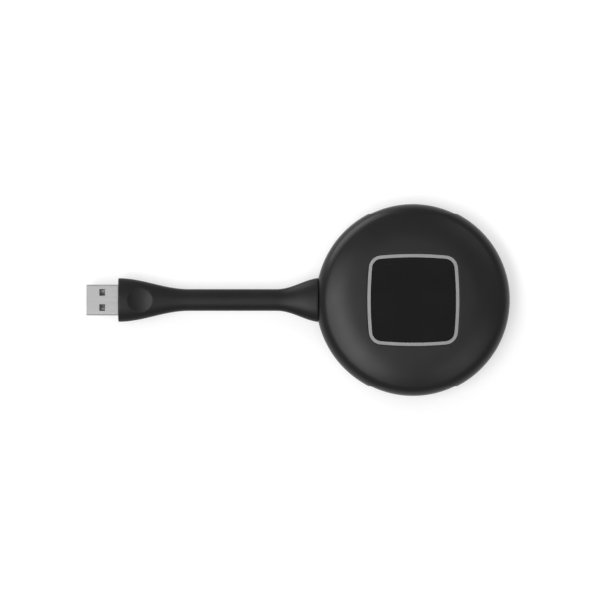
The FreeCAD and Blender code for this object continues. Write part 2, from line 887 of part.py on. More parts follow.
def button():
    lens_bottom = crown - d.lens_depth
    carrier_bottom = lens_bottom - d.carrier_thick
    plunger_top = key_top + d.switch_height + d.plunger_proud
    lens = new_body("button_lens_body")
    pad(lens, "lens_block", (lens_bottom, crown), [bowed_square(BUTTON_EDGE)])
    domed("button_lens", lens, d.button_recess)
    carrier = new_body("button_carrier_body")
    pad(carrier, "carrier_plate", (carrier_bottom, lens_bottom), [bowed_square(BUTTON_EDGE)])
    pad(carrier, "carrier_nub", (plunger_top, carrier_bottom), [(ZERO, ZERO, d.nub_radius)])
    outside = d.ring_half + WELL_INNER - d.button_gap
    nose_top = hook_top() - d.stop_clear
    hooks = [carrier]
    for side, sign in (("a", 1), ("b", -1)):
        leg_x = limits(sign, outside - d.hook_thick, outside)
        nose_x = limits(sign, outside, outside + d.hook_reach)
        wide = about(ZERO, d.hook_width / 2)
        leg_z = (nose_top - d.hook_height, carrier_bottom)
        nose_z = (nose_top - d.hook_height, nose_top)
        hooks += [block(f"hook_x_{side}", leg_x, wide, leg_z), block(f"nose_x_{side}", nose_x, wide, nose_z),
                  block(f"hook_y_{side}", wide, leg_x, leg_z), block(f"nose_y_{side}", wide, nose_x, nose_z)]
    keep("button_carrier", fuse("button_carrier", hooks))


def limits(sign, near, far):
    return (near, far) if sign > 0 else (-far, -near)


def push_switch():
    top = key_top + d.switch_height
    hole = d.plunger_radius + d.plunger_clear
    cavity_z = (key_top + d.switch_floor, key_top + d.switch_floor + d.snap_height + d.snap_clear)
    body = new_body("switch_body_block")
    case = [rounded_rectangle(ZERO, ZERO, d.switch_half, d.switch_half, d.switch_floor)]
    pad(body, "switch_case", (key_top, top), case)
    cavity = rod("switch_cavity", ZERO, ZERO, cavity_z[0], d.snap_radius + d.snap_clear,
                 cavity_z[1] - cavity_z[0])
    bore = rod("plunger_bore", ZERO, ZERO, cavity_z[0], hole, top - cavity_z[0])
    keep("switch_body", cut("switch_body", body, [cavity, bore]))
    plunger_bottom = cavity_z[0] + d.snap_height + d.stop_clear
    plunger = new_body("switch_plunger")
    pad(plunger, "plunger_stem", (plunger_bottom, top + d.plunger_proud), [(ZERO, ZERO, d.plunger_radius)])
    keep("switch_plunger", plunger)
    snap_dome(cavity_z[0])


def snap_dome(rim_z):
    """Thin domed disc that gives the click."""
    rise = d.snap_height
    outer = (d.snap_radius * d.snap_radius + rise * rise) / (2 * rise)
    inner = outer - d.snap_thick
    centre_z = rim_z + rise - outer
    inner_rim = side_of(inner, rim_z - centre_z)
    body = new_body("switch_dome")
    revolve(body, "snap_disc", [
        (inner_rim, rim_z),
        (d.snap_radius, rim_z, outer, 1),
        (ZERO, rim_z + rise),
        (ZERO, rim_z + rise - d.snap_thick, inner, -1),
    ])
    keep("switch_dome", body)


# Boards and what is on them

def key_board():
    body = new_body("key_board_body")
    outline = rounded_rectangle(ZERO, ZERO, d.key_board_half, d.key_board_half, d.key_board_corner)
    holes = four_corners(key_post, key_post, d.key_screw_radius + d.hole_clear)
    pad(body, "key_board_plate", (key_bottom, key_top), [outline] + holes)
    boss_ways = [rod(f"boss_way_{index}", x, y, key_bottom, radius, d.key_board_thick)
                 for index, (x, y, radius) in enumerate(four_posts(d.boss_radius + d.boss_clear))]
    keep("key_board", cut("key_board", body, boss_ways))
    screws = [
        screw(f"key_screw_{index}", x, y, key_bottom, radius, d.key_screw_length,
              d.key_head_radius, d.key_head_height, True)
        for index, (x, y, radius) in enumerate(four_corners(key_post, key_post, d.key_screw_radius))
    ]
    keep("key_board_screws", group("key_board_screws", screws))


def main_board():
    body = new_body("main_board")
    cut_y = side_of(main_radius, main_cut_x)
    holes = [spot for spot in four_posts(d.post_radius + d.post_clear) if spot[0].value > 0]
    holes += four_corners(board_screw_x, board_screw_y, d.board_screw_radius + d.hole_clear)
    sketch_z = (main_bottom, main_top)
    outline = [
        (main_cut_x, -cut_y, main_radius, 1),
        (ZERO, -main_radius, main_radius, 1),
        (main_radius, ZERO, main_radius, 1),
        (ZERO, main_radius, main_radius, 1),
        (main_cut_x, cut_y),
    ]
    pad(body, "main_board_plate", sketch_z, [outline] + holes)
    keep("main_board", body)
    places = four_corners(board_screw_x, board_screw_y, d.board_screw_radius)
    screws = [
        screw(f"board_screw_{index}", x, y, main_top, radius, d.board_screw_length,
              d.board_head_radius, d.board_head_height, False)
        for index, (x, y, radius) in enumerate(places)
    ]
    keep("board_screws", group("board_screws", screws))


def chip(label, x, y, half_x, half_y, z):
    """A moulded package with slightly round corners."""
    return plate(label, x, y, half_x, half_y, d.shield_sheet, z)


def cooling():
    x = d.processor_x
    spreader_top = floor_z + d.spreader_thick
    processor_bottom = main_bottom - d.processor_height
    chip("heat_spreader", x, ZERO, d.spreader_half, d.spreader_half, (floor_z, spreader_top))
    chip("thermal_pad", x, ZERO, d.thermal_half, d.thermal_half, (spreader_top, processor_bottom))
    chip("processor", x, ZERO, d.processor_half, d.processor_half, (processor_bottom, main_bottom))


def top_side_chips():
    low = (main_top, main_top + d.chip_thin)
    memory = [
        block(f"memory_{index}", about(memory_x, d.memory_half_x),
              about(memory_y - index * d.memory_pitch, d.memory_half_y), low)
        for index in (0, 1)
    ]
    keep("memory_chips", group("memory_chips", memory))
    chip("flash_chip", memory_x, flash_y, d.flash_half_x, d.flash_half_y, low)
    chip("crystal", d.crystal_x, -d.crystal_y, d.crystal_half_x, d.crystal_half_y, low)
    chip("radio_chip", d.shield_x, d.shield_y, d.radio_half, d.radio_half, low)
    outer = block("shield_outer", about(d.shield_x, d.shield_half_x), about(d.shield_y, d.shield_half_y),
                  (main_top, main_top + d.shield_height))
    inner = block("shield_inner", about(d.shield_x, d.shield_half_x - d.shield_sheet),
                  about(d.shield_y, d.shield_half_y - d.shield_sheet),
                  (main_top, main_top + d.shield_height - d.shield_sheet))
    keep("shield_can", cut("shield_can", outer, [inner]))
    coils = [
        block(f"inductor_{index}", about(-d.inductor_x - index * d.inductor_pitch, d.inductor_half),
              about(-d.inductor_y, d.inductor_half), (main_top, main_top + d.inductor_height))
        for index in (0, 1)
    ]
    keep("power_inductors", group("power_inductors", coils))
    caps = [
        block(f"capacitor_{index}", about(index * d.capacitor_pitch, d.capacitor_half_x),
              about(-d.capacitor_y, d.capacitor_half_y), (main_top, main_top + d.capacitor_height))
        for index in range(CAPACITOR_COUNT)
    ]
    keep("capacitors", group("capacitors", caps))


def board_link():
    """Connector pair that carries the upper board's signals to the lower board."""
    split = main_top + d.link_socket_height
    y = -d.link_y
    chip("board_socket", d.link_x, y, d.link_half_x, d.link_half_y, (main_top, split))
    inset = d.shield_sheet
    chip("board_header", d.link_x, y, d.link_half_x - inset, d.link_half_y - inset, (split, key_bottom))


def antenna(label, sign):
    """Stamped plate on two legs: one earthed at its end, one that feeds it."""
    top = main_top + d.antenna_height
    near, far = antenna_near, antenna_near + d.antenna_width
    half = d.antenna_half_length
    roof = block(label + "_roof", about(ZERO, half), limits(sign, near, far), (top - d.antenna_sheet, top))
    gauge = limits(sign, near, near + d.antenna_sheet)
    upright = (main_top, top)
    earth = block(label + "_earth", (-half, d.antenna_leg - half), gauge, upright)
    feed = block(label + "_feed", (d.antenna_feed_x - half, d.antenna_feed_x + d.antenna_leg - half),
                 gauge, upright)
    keep(label, fuse(label, [roof, earth, feed]))


def cable_connector():
    top = main_top + d.header_height
    wall, clear = d.header_wall, d.connector_clear
    hole_x = (header_x, header_x + d.header_length - wall)
    hole_y = d.header_half_width - wall
    outer = block("header_outer", (header_x, header_x + d.header_length),
                  about(ZERO, d.header_half_width), (main_top, top))
    hole = block("header_hole", hole_x, about(ZERO, hole_y), (main_top + wall, top - wall))
    keep("cable_header", cut("cable_header", outer, [hole]))
    plug = block("cable_plug", (wire_start_x, hole_x[1] - clear), about(ZERO, hole_y - clear),
                 (main_top + wall + clear, top - wall - clear))
    keep("cable_plug", plug)


# Arm

def flare(x):
    """Share of the way from the neck's size to the flare's: 0 to 1 in a half cosine."""
    return (1 - cosine(180 * x)) / 2


def arm_size(x, neck, collar, grip):
    """Half width or half height of the arm at x."""
    root_full = land_x + d.root_flare_hidden
    root_start = root_full - d.root_flare_length
    tip_full = grip_face_x - d.tip_flare_hidden
    tip_start = tip_full + d.tip_flare_length
    if x.value > root_start.value:
        return neck + (collar - neck) * flare((x - root_start) / d.root_flare_length)
    if x.value < tip_start.value:
        return neck + (grip - neck) * flare((tip_start - x) / d.tip_flare_length)
    return neck


def arm_length_of(name, start, end, steps):
    """The arm between two stations, as a loft through ellipses."""
    sections = []
    for step in range(steps + 1):
        x = start + (end - start) * step / steps
        ring = document.addObject("Part::Ellipse", f"{name}_{step}")
        half_width = arm_size(x, d.neck_half_width, d.collar_half_width, d.grip_half_width)
        half_height = arm_size(x, d.neck_half_height, d.collar_half_height, d.grip_half_height)
        tie(ring, "MajorRadius", half_width)
        tie(ring, "MinorRadius", half_height)
        place(ring, x, ZERO, arm_z, ACROSS_ARM)
        sections.append(ring)
    item = document.addObject("Part::Loft", name)
    item.Sections = sections
    item.Solid = True
    return item


def bore_along_arm(name, start, end):
    return rod(name, start, ZERO, arm_z, d.cable_radius + d.cable_clear, end - start, ALONG_X)


def strain_relief():
    collar = arm_length_of("collar", relief_end_x, land_x, 6)
    through = block("relief_neck", (land_x, exit_inner_x), about(ZERO, d.exit_half_width),
                    about(arm_z, d.exit_half_height))
    flange = block("relief_flange", (exit_inner_x, exit_inner_x + d.relief_flange_thick),
                   about(ZERO, d.exit_half_width + d.flange_grip),
                   about(arm_z, d.exit_half_height + d.flange_grip))
    whole = fuse("relief_blank", [collar, through, flange])
    bore = bore_along_arm("relief_bore", relief_end_x, exit_inner_x + d.relief_flange_thick)
    keep("strain_relief", cut("strain_relief", whole, [bore]))


def flex_neck():
    whole = arm_length_of("neck", grip_start_x, relief_end_x, 20)
    keep("flex_neck", cut("flex_neck", whole, [bore_along_arm("neck_bore", grip_start_x, relief_end_x)]))


def cable():
    jacket = rod("jacket", jacket_end_x, ZERO, arm_z, d.cable_radius, jacket_start_x - jacket_end_x, ALONG_X)
    bore = rod("jacket_bore", jacket_end_x, ZERO, arm_z, d.cable_bore, jacket_start_x - jacket_end_x, ALONG_X)
    keep("arm_cable", cut("arm_cable", jacket, [bore]))
    wires = []
    for index, (sign_y, sign_z) in enumerate(((1, 1), (1, -1), (-1, 1), (-1, -1))):
        wires.append(rod(f"wire_{index}", wire_end_x, sign_y * d.wire_offset, arm_z + sign_z * d.wire_offset,
                         d.wire_radius, wire_start_x - wire_end_x, ALONG_X))
    keep("arm_wires", group("arm_wires", wires))


def cable_clamp():
    x = (saddle_x[0] + d.clamp_margin, saddle_x[1] - d.clamp_margin)
    middle = (x[0] + x[1]) / 2
    top = arm_z + d.clamp_height
    bar = block("clamp_bar", x, about(ZERO, d.saddle_half_width - d.clamp_margin), (arm_z, top))
    channel = rod("clamp_channel", x[0], ZERO, arm_z, d.cable_radius + d.cable_clear, x[1] - x[0], ALONG_X)
    hole = d.clamp_screw_radius + d.hole_clear
    holes = [rod(f"clamp_hole_{side}", middle, sign * d.clamp_screw_y, arm_z, hole, d.clamp_height)
             for side, sign in (("a", 1), ("b", -1))]
    keep("cable_clamp", cut("cable_clamp", bar, [channel] + holes))
    length = d.clamp_height + d.clamp_screw_depth - d.pilot_spare
    screws = [
        screw(f"clamp_screw_{side}", middle, sign * d.clamp_screw_y, top, d.clamp_screw_radius, length,
              d.clamp_head_radius, d.clamp_head_height, False)
        for side, sign in (("a", 1), ("b", -1))
    ]
    keep("clamp_screws", group("clamp_screws", screws))


# USB plug

def along_x_tube(name, x, half_y, half_z, corner):
    """A bar along X with round edges, centred on the arm's axis."""
    body = new_body(name)
    sketch = new_sketch(body, name + "_outline", "YZ_Plane", x[0])
    draw_outline(sketch, rounded_rectangle(ZERO, arm_z, half_y, half_z, corner))
    feature = body.newObject("PartDesign::Pad", name + "_bar")
    feature.Profile = sketch
    tie(feature, "Length", x[1] - x[0])
    body.Tip = feature
    return body


def plug():
    wall = d.shell_wall
    x = (plug_tip_x, shell_rear_x)
    shell_bar = along_x_tube("shell_outside", x, d.shell_half_width, d.shell_half_height, d.shell_corner)
    hollow = along_x_tube("shell_inside", x, d.shell_half_width - wall, d.shell_half_height - wall,
                          d.shell_corner - wall)
    window_x = (plug_tip_x + d.window_setback, plug_tip_x + d.window_setback + d.window_length)
    windows = [
        block(f"window_{side}", window_x, about(sign * d.window_y, d.window_half_width),
              about(arm_z, d.shell_half_height))
        for side, sign in (("a", 1), ("b", -1))
    ]
    keep("plug_shell", cut("plug_shell", shell_bar, [hollow] + windows))

    inside_y = d.shell_half_width - wall - d.tongue_clear
    inside_z = d.shell_half_height - wall - d.tongue_clear
    tongue_top = arm_z - d.tongue_rise
    tongue = block("tongue", (plug_tip_x + d.tongue_setback, shell_rear_x), about(ZERO, inside_y),
                   (arm_z - inside_z, tongue_top))
    rear = block("tongue_rear", (shell_rear_x - d.tongue_block, shell_rear_x), about(ZERO, inside_y),
                 about(arm_z, inside_z))
    contacts, slots = [], []
    tail_x = shell_rear_x + d.contact_tail
    for index, y in enumerate((-d.contact_outer_y, -d.contact_inner_y, d.contact_inner_y, d.contact_outer_y)):
        start = plug_tip_x + d.tongue_setback + d.contact_setback
        if index in (1, 2):
            start = start + d.contact_step
        z = (tongue_top, tongue_top + d.contact_thick)
        contacts.append(block(f"contact_{index}", (start, tail_x), about(y, d.contact_half_width), z))
        slots.append(block(f"contact_slot_{index}", (shell_rear_x - d.tongue_block, shell_rear_x),
                           about(y, d.contact_half_width + d.contact_clear),
                           (tongue_top, tongue_top + d.contact_thick + d.contact_clear)))
    keep("plug_insulator", cut("plug_insulator", fuse("insulator_blank", [tongue, rear]), slots))
    keep("plug_contacts", group("plug_contacts", contacts))

    core_bar = along_x_tube("core_outside", (shell_rear_x, core_rear_x), d.core_half_width,
                            d.core_half_height, d.core_corner)
    hollow_x = (shell_rear_x, core_rear_x - d.core_end_wall)
    core_hollow = block("core_hollow", hollow_x, about(ZERO, d.core_half_width - d.core_wall),
                        about(arm_z, d.core_half_height - d.core_wall))
    core_bore = bore_along_arm("core_bore", hollow_x[1], core_rear_x)
    keep("plug_core", cut("plug_core", core_bar, [core_hollow, core_bore]))

    grip = arm_length_of("grip", grip_face_x, grip_start_x, 10)
    cable_bore = bore_along_arm("grip_bore", core_rear_x, grip_start_x)
    keep("plug_grip", cut("plug_grip", grip, [shell_bar, core_bar, cable_bore, thumb_dimple()]))


def thumb_dimple():
    """Round dish in the top of the grip: an upright wall and a shallow concave floor."""
    x = grip_face_x + d.dimple_setback
    crest = arm_z + arm_size(x, d.neck_half_height, d.collar_half_height, d.grip_half_height)
    floor = crest - d.dimple_depth
    wall = rod("dimple_wall", x, ZERO, floor, d.dimple_radius, d.dimple_depth * 2)
    dish = document.addObject("Part::Sphere", "dimple_dish")
    tie(dish, "Radius", d.dimple_floor_radius)
    place(dish, x, ZERO, floor + d.dimple_floor_radius)
    return common("thumb_dimple", [wall, dish])


top_cover()
bottom_cover()
foot_pad()
housing_screws()
light_guide()
reflector_frame()
status_leds()
button()
push_switch()
key_board()
main_board()
cooling()
top_side_chips()
board_link()
antenna("antenna_left", -1)
antenna("antenna_right", 1)
cable_connector()
strain_relief()
flex_neck()
cable()
cable_clamp()
plug()

document.recompute()
for item in document.Objects:
    if "Invalid" in item.State or "Error" in item.State:
        raise RuntimeError(f"{item.Label} failed: {item.State}")
for label, item in subparts.items():
    if item.Shape.isNull() or not item.Shape.isValid() or not item.Shape.Solids:
        raise RuntimeError(f"{label} has no valid solid")

os.makedirs("parts", exist_ok=True)
for label, item in subparts.items():
    item.Shape.exportStep(f"parts/{label}.step")
    print(f"{label}: {len(item.Shape.Solids)} solid(s), {item.Shape.Volume:.1f} mm3")
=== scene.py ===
import math

import bmesh
import bpy
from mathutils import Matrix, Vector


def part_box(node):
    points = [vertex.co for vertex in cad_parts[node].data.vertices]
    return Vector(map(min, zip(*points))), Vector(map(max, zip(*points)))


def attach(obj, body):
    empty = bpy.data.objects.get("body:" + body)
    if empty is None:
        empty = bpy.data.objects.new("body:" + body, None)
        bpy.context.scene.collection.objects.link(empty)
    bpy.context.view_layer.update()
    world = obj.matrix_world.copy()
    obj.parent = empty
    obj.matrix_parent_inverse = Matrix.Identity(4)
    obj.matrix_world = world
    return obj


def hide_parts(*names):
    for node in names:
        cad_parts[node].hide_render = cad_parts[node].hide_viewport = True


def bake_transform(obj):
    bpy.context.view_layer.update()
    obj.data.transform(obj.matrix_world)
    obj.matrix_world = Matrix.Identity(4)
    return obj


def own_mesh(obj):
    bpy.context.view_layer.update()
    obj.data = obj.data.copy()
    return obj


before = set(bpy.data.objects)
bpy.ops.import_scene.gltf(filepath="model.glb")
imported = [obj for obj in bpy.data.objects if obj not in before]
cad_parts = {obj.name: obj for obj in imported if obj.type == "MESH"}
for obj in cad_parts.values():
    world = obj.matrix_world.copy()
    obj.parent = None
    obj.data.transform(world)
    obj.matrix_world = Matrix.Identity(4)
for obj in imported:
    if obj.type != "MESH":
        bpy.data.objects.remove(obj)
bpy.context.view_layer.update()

# Wireless screen sharing dongle: a satin black puck with a glossy square button in a pale light ring,
# a moulded rubber arm and a flat metal plug at its tip. Lengths are in metres, in the frame's own axes.

MM = 0.001

# Places read from the frame
top_low, top_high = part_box("top_cover")
foot_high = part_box("foot_pad")[1]
guide_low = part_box("light_guide")[0]
lens_low, lens_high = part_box("button_lens")
relief_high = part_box("strain_relief")[1]
neck_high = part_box("flex_neck")[1]
grip_low, grip_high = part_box("plug_grip")
shell_low, shell_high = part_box("plug_shell")
core_low, core_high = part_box("plug_core")
contact_low, contact_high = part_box("plug_contacts")
cable_low, cable_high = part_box("arm_cable")
wires_low, wires_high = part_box("arm_wires")
snap_low, snap_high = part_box("switch_dome")

# Points within NEAR count as level or as one. Within MERGE they are merged, and within WELD after cuts.
# A cutter reaches PAST what it cuts.
NEAR = 1e-6
MERGE = 1e-7
WELD = 2e-6
PAST = 1 * MM

# Case
CASE_RADIUS = top_high.x
LAND_X = top_low.x
SEAM_Z = (shell_low.z + shell_high.z) / 2
BUTTON_RECESS = 0.1 * MM
CROWN_Z = lens_high.z + BUTTON_RECESS
BASE_Z = 0.6 * MM
DOME_RADIUS = 340 * MM
DOME_CENTRE = CROWN_Z - DOME_RADIUS
HAUNCH_START = 22.5 * MM
HAUNCH_RADIUS = 45 * MM
SHOULDER_RADIUS = 6 * MM
BASE_ROUND = 5.6 * MM
CASE_WALL = 1.7 * MM
LIP = (35.25 * MM, 36.05 * MM)
LIP_HEIGHT = 1.2 * MM
RELIEF_CHORD = CASE_RADIUS - 4.27 * MM
RELIEF_DEPTH = 0.4 * MM
RELIEF_STEP = 0.06 * MM
SEAM_ROUND = 0.22 * MM
SEAM_ROUND_CLEAR = 6.5 * MM
SEAM_EDGE = LIP[1] + 0.7 * MM
RIM_NEAR = 0.01 * MM
TURNED_INNER = 27 * MM
# Angles in degrees between which the guide for the cover's middle is turned
GUIDE_START, GUIDE_END = 75, 87.5
ROUND_STEPS = 192
FLOOR_Z = BASE_Z + CASE_WALL
FOOT_CLEAR = 0.15 * MM
# Screw posts, as (x, y) in the quarter towards +X and +Y
CASE_POST = (26.52 * MM, 10.71 * MM)
KEY_BOARD_POST = (20.5 * MM, 20.5 * MM)
MAIN_BOARD_POST = (17.5 * MM, 24.0 * MM)
POST_TOP = SEAM_Z - 0.55 * MM
POST_ROOT = FLOOR_Z - 0.5 * MM
BOSS_ROOT = CROWN_Z - 3.05 * MM
KEY_BOARD_Z = CROWN_Z - 6.2 * MM
MAIN_BOARD_Z = FLOOR_Z + 2.5 * MM
PILOT_TOP = 9.8 * MM
CASE_POST_RADIUS, CASE_BOSS_RADIUS, PILOT_RADIUS = 3.0 * MM, 2.7 * MM, 1.0 * MM
KEY_POST_RADIUS, MAIN_POST_RADIUS = 2.1 * MM, 2.5 * MM
# Where the arm and its cable enter: the way through the wall, the block round it and the cable's saddle
WAY_HALF = (6.1 * MM, 2.6 * MM)
WAY_REACH = 5 * MM
EXIT_BLOCK_X = (LAND_X + 0.9 * MM, LAND_X + 2.7 * MM)
EXIT_BLOCK_HALF = (8.5 * MM, 3.25 * MM)
SADDLE_X = (LAND_X + 5.4 * MM, LAND_X + 9.9 * MM)
SADDLE_HALF = 6.5 * MM
# Light ring and button
RING_SEAT_Z = 13.2 * MM
RING_HALF = 17.76 * MM
RING_SIDE = 141 * MM
RING_CORNER = 4.93 * MM
RING_WIDTH = 1.24 * MM
RING_PROUD = 0.05 * MM
RING_FLANGE = (2 * MM, 1 * MM)
OPENING_CLEAR = 0.1 * MM
OUTLINE_NEAR = 0.03 * MM
# Heights above which the upper edges of the opening, the ring and the cap lie
OPENING_EDGE_Z = CROWN_Z - 1.2 * MM
RING_EDGE_Z = CROWN_Z - 2.0 * MM
CAP_EDGE_Z = CROWN_Z - 1.5 * MM
BUTTON_GAP = 0.15 * MM
EDGE_ROUND = 0.16 * MM
BUTTON_ROUND = 0.3 * MM
SNAP_THICK = 0.12 * MM
# Foot pad
FOOT_RIM = 0.35 * MM
GROOVE_MIDDLE = 26 * MM
GROOVE_HALF = (1.2 * MM, 0.9 * MM)
GROOVE_DEPTH = 0.3 * MM
# Arm, with half widths and half heights
ARM_Z = SEAM_Z
NECK_MIDDLE = -70.225 * MM
NECK_SIZE = (4.25 * MM, 2.8 * MM)
COLLAR_SIZE = (8.75 * MM, 4.3 * MM)
GRIP_SIZE = (8.55 * MM, 4.3 * MM)
ROOT_FLARE = (LAND_X + 1.9 * MM, 18.2 * MM)
TIP_FLARE = (grip_low.x - 0.25 * MM, 28.0 * MM)
CABLE_BORE = 2.05 * MM
JACKET_RADIUS, JACKET_WALL = 1.9 * MM, 0.5 * MM
WIRE_RADIUS, WIRE_OFFSET = 0.4 * MM, 0.5 * MM
ROOT_ROUND, GRIP_ROUND = 0.35 * MM, 0.45 * MM
THROUGH_WALL = (6.0 * MM, 2.5 * MM)
INNER_FLANGE = (6.7 * MM, 3.2 * MM)
FLANGE_THICK = 1.5 * MM
ARM_STEPS = 160
# Thumb dimple: middle, radius, depth and how far its middle leans towards the plug
DIMPLE_X = grip_low.x + 8.55 * MM
DIMPLE_RADIUS, DIMPLE_DEPTH, DIMPLE_LEAN = 4.9 * MM, 0.95 * MM, 0.7 * MM
DENSE_X = (DIMPLE_X + 6 * MM, DIMPLE_X - 5.5 * MM)
# Places of the two bends along the arm
ROOT_BEND = (neck_high.x + NECK_MIDDLE) / 2
TIP_BEND = (NECK_MIDDLE + grip_high.x) / 2
# Plug
SHELL_CORNER = 0.6 * MM
SHELL_WALL = 0.3 * MM
SHELL_EDGE = 0.05 * MM
SHELL_SEAM = (0.05 * MM, 0.12 * MM)
# Angle in degrees from which an edge of the shell is rounded
SHELL_FOLD = 50
GRIP_GAP = 0.02 * MM
SPACE_OVERLAP = 0.5 * MM
CORE_CORNER = 1.0 * MM
WINDOW_START, WINDOW_LENGTH = 5.08 * MM, 2.2 * MM
WINDOW_MIDDLE, WINDOW_HALF = 2.95 * MM, 1.28 * MM
# Contacts, as (middle in y, distance from the plug's tip)
CONTACTS = ((-3.5 * MM, 1.5 * MM), (-1.0 * MM, 2.5 * MM), (1.0 * MM, 2.5 * MM), (3.5 * MM, 1.5 * MM))
CONTACT_HALF = 0.5 * MM
CONTACT_ROUND = 0.1 * MM


# Modelling helpers

class editing:
    """Edit mode on one piece alone."""

    def __init__(self, piece):
        self.piece = piece

    def __enter__(self):
        only(self.piece)
        bpy.ops.object.mode_set(mode="EDIT")
        return self.piece

    def __exit__(self, *problem):
        bpy.ops.object.mode_set(mode="OBJECT")


def only(*pieces):
    bpy.ops.object.select_all(action="DESELECT")
    for piece in pieces:
        piece.select_set(True)
    bpy.context.view_layer.objects.active = pieces[0]


def named(name):
    """Names the piece just made, and puts its place into its mesh."""
    piece = bpy.context.object
    piece.name = name
    piece.data.name = name
    only(piece)
    bpy.ops.object.transform_apply(location=True, rotation=True, scale=True)
    return piece


def pick(piece, kind, test):
    """In edit mode, selects the vertices, edges or faces that pass the test on their middle."""
    bpy.ops.mesh.select_mode(type=kind)
    bpy.ops.mesh.select_all(action="DESELECT")
    mesh = bmesh.from_edit_mesh(piece.data)
    if kind == "VERT":
        for vertex in mesh.verts:
            vertex.select = test(vertex.co)
    elif kind == "EDGE":
        for edge in mesh.edges:
            edge.select = test(edge.verts[0].co) and test(edge.verts[1].co)
    else:
        for face in mesh.faces:
            face.select = test(face.calc_center_median())
    mesh.select_flush_mode()
    bmesh.update_edit_mesh(piece.data)


def ring_start(name, axis, station, steps):
    """A loop of vertices about the Z or X axis. A station is (place along the axis, half size, half size)."""
    place, half_a, half_b = station
    at = (0, 0, place) if axis == "Z" else (place, 0, ARM_Z)
    turn = (0, 0, 0) if axis == "Z" else (0, math.pi / 2, 0)
    bpy.ops.object.select_all(action="DESELECT")
    bpy.ops.mesh.primitive_circle_add(vertices=steps, radius=1, location=at, rotation=turn)
    piece = bpy.context.object
    piece.scale = (half_a, half_b, 1) if axis == "Z" else (half_b, half_a, 1)
    return named(name)


def pull_loop(axis, before, after):
    """Extrudes the selected loop from one station to the next."""
    step = after[0] - before[0]
    grow = (after[1] / before[1], after[2] / before[2])
    if axis == "Z":
        move, size, centre = (0, 0, step), (*grow, 1), (0, 0, after[0])
    else:
        move, size, centre = (step, 0, 0), (1, *grow), (after[0], 0, ARM_Z)
    bpy.ops.mesh.extrude_region_move(TRANSFORM_OT_translate={"value": move})
    bpy.ops.transform.resize(value=size, center_override=centre)


def face_outwards():
    """In edit mode, turns all faces outwards."""
    bpy.ops.mesh.select_all(action="SELECT")
    bpy.ops.mesh.normals_make_consistent(inside=False)


def off_axis(point, axis):
    """True for a point that lies off the axis of a chain."""
    if axis == "Z":
        return point.xy.length > NEAR
    return math.hypot(point.y, point.z - ARM_Z) > NEAR


def chain(name, axis, stations, steps, close="none"):
    """Extrudes a loop through stations. The ends stay open, come to a point each or meet each other."""
    piece = ring_start(name, axis, stations[0], steps)
    with editing(piece):
        bpy.ops.mesh.select_mode(type="VERT")
        bpy.ops.mesh.select_all(action="SELECT")
        if close == "both":
            bpy.ops.mesh.edge_face_add()
            bpy.ops.mesh.poke()
            pick(piece, "VERT", lambda point: off_axis(point, axis))
        for before, after in zip(stations, stations[1:]):
            pull_loop(axis, before, after)
        if close == "both":
            bpy.ops.mesh.edge_face_add()
            bpy.ops.mesh.poke()
        if close == "meet":
            bpy.ops.mesh.select_all(action="SELECT")
            bpy.ops.mesh.remove_doubles(threshold=MERGE)
        face_outwards()
    return piece


def apply(piece, kind, **settings):
    """Adds a modifier and applies it."""
    modifier = piece.modifiers.new(kind.lower(), kind)
    for key, value in settings.items():
        setattr(modifier, key, value)
    only(piece)
    bpy.ops.object.modifier_apply(modifier=modifier.name)


def boolean(piece, other, operation):
    apply(piece, "BOOLEAN", object=other, operation=operation, solver="EXACT")
    bpy.data.objects.remove(other)


def cut(piece, cutter):
    boolean(piece, cutter, "DIFFERENCE")


def fuse(piece, extra):
    boolean(piece, extra, "UNION")


def block(name, low, high):
    """A box between two corners."""
    middle = [(a + b) / 2 for a, b in zip(low, high)]
    bpy.ops.object.select_all(action="DESELECT")
    bpy.ops.mesh.primitive_cube_add(size=1, location=middle)
    bpy.context.object.scale = [b - a for a, b in zip(low, high)]
    return named(name)


def four_uprights(name, place, z, radius, steps=32):
    """A round post made once and copied to the four places that mirror each other."""
    bpy.ops.object.select_all(action="DESELECT")
    bpy.ops.mesh.primitive_cylinder_add(vertices=steps, radius=radius, depth=z[1] - z[0],
                                        location=(0, 0, (z[0] + z[1]) / 2))
    first = named(name)
    posts = [first]
    for _ in range(3):
        copy = first.copy()
        copy.data = first.data.copy()
        bpy.context.scene.collection.objects.link(copy)
        posts.append(copy)
    for post, (sign_x, sign_y) in zip(posts, ((1, 1), (-1, 1), (-1, -1), (1, -1))):
        post.location = (sign_x * place[0], sign_y * place[1], 0)
    join(*posts)
    return named(name)


def rounded_bar(name, low, high, radius, segments=6):
    """A bar along X with its four long edges rounded."""
    bar = block(name, low, high)
    with editing(bar):
        mesh = bmesh.from_edit_mesh(bar.data)
        bpy.ops.mesh.select_mode(type="EDGE")
        bpy.ops.mesh.select_all(action="DESELECT")
        for edge in mesh.edges:
            edge.select = abs(edge.verts[0].co.x - edge.verts[1].co.x) > NEAR
        bmesh.update_edit_mesh(bar.data)
        bpy.ops.mesh.bevel(offset=radius, segments=segments, affect="EDGES")
    return bar


def smooth(piece, angle=35):
    only(piece)
    bpy.ops.object.shade_smooth_by_angle(angle=math.radians(angle))


def bevel_edges(piece, test, width, segments):
    """Rounds the edges whose two ends pass the test."""
    with editing(piece):
        pick(piece, "EDGE", test)
        bpy.ops.mesh.bevel(offset=width, segments=segments, affect="EDGES", clamp_overlap=True)


def weld(piece):
    """Merges points that cuts have left on top of each other."""
    with editing(piece):
        bpy.ops.mesh.select_all(action="SELECT")
        bpy.ops.mesh.remove_doubles(threshold=WELD)
        bpy.ops.mesh.dissolve_degenerate(threshold=WELD)


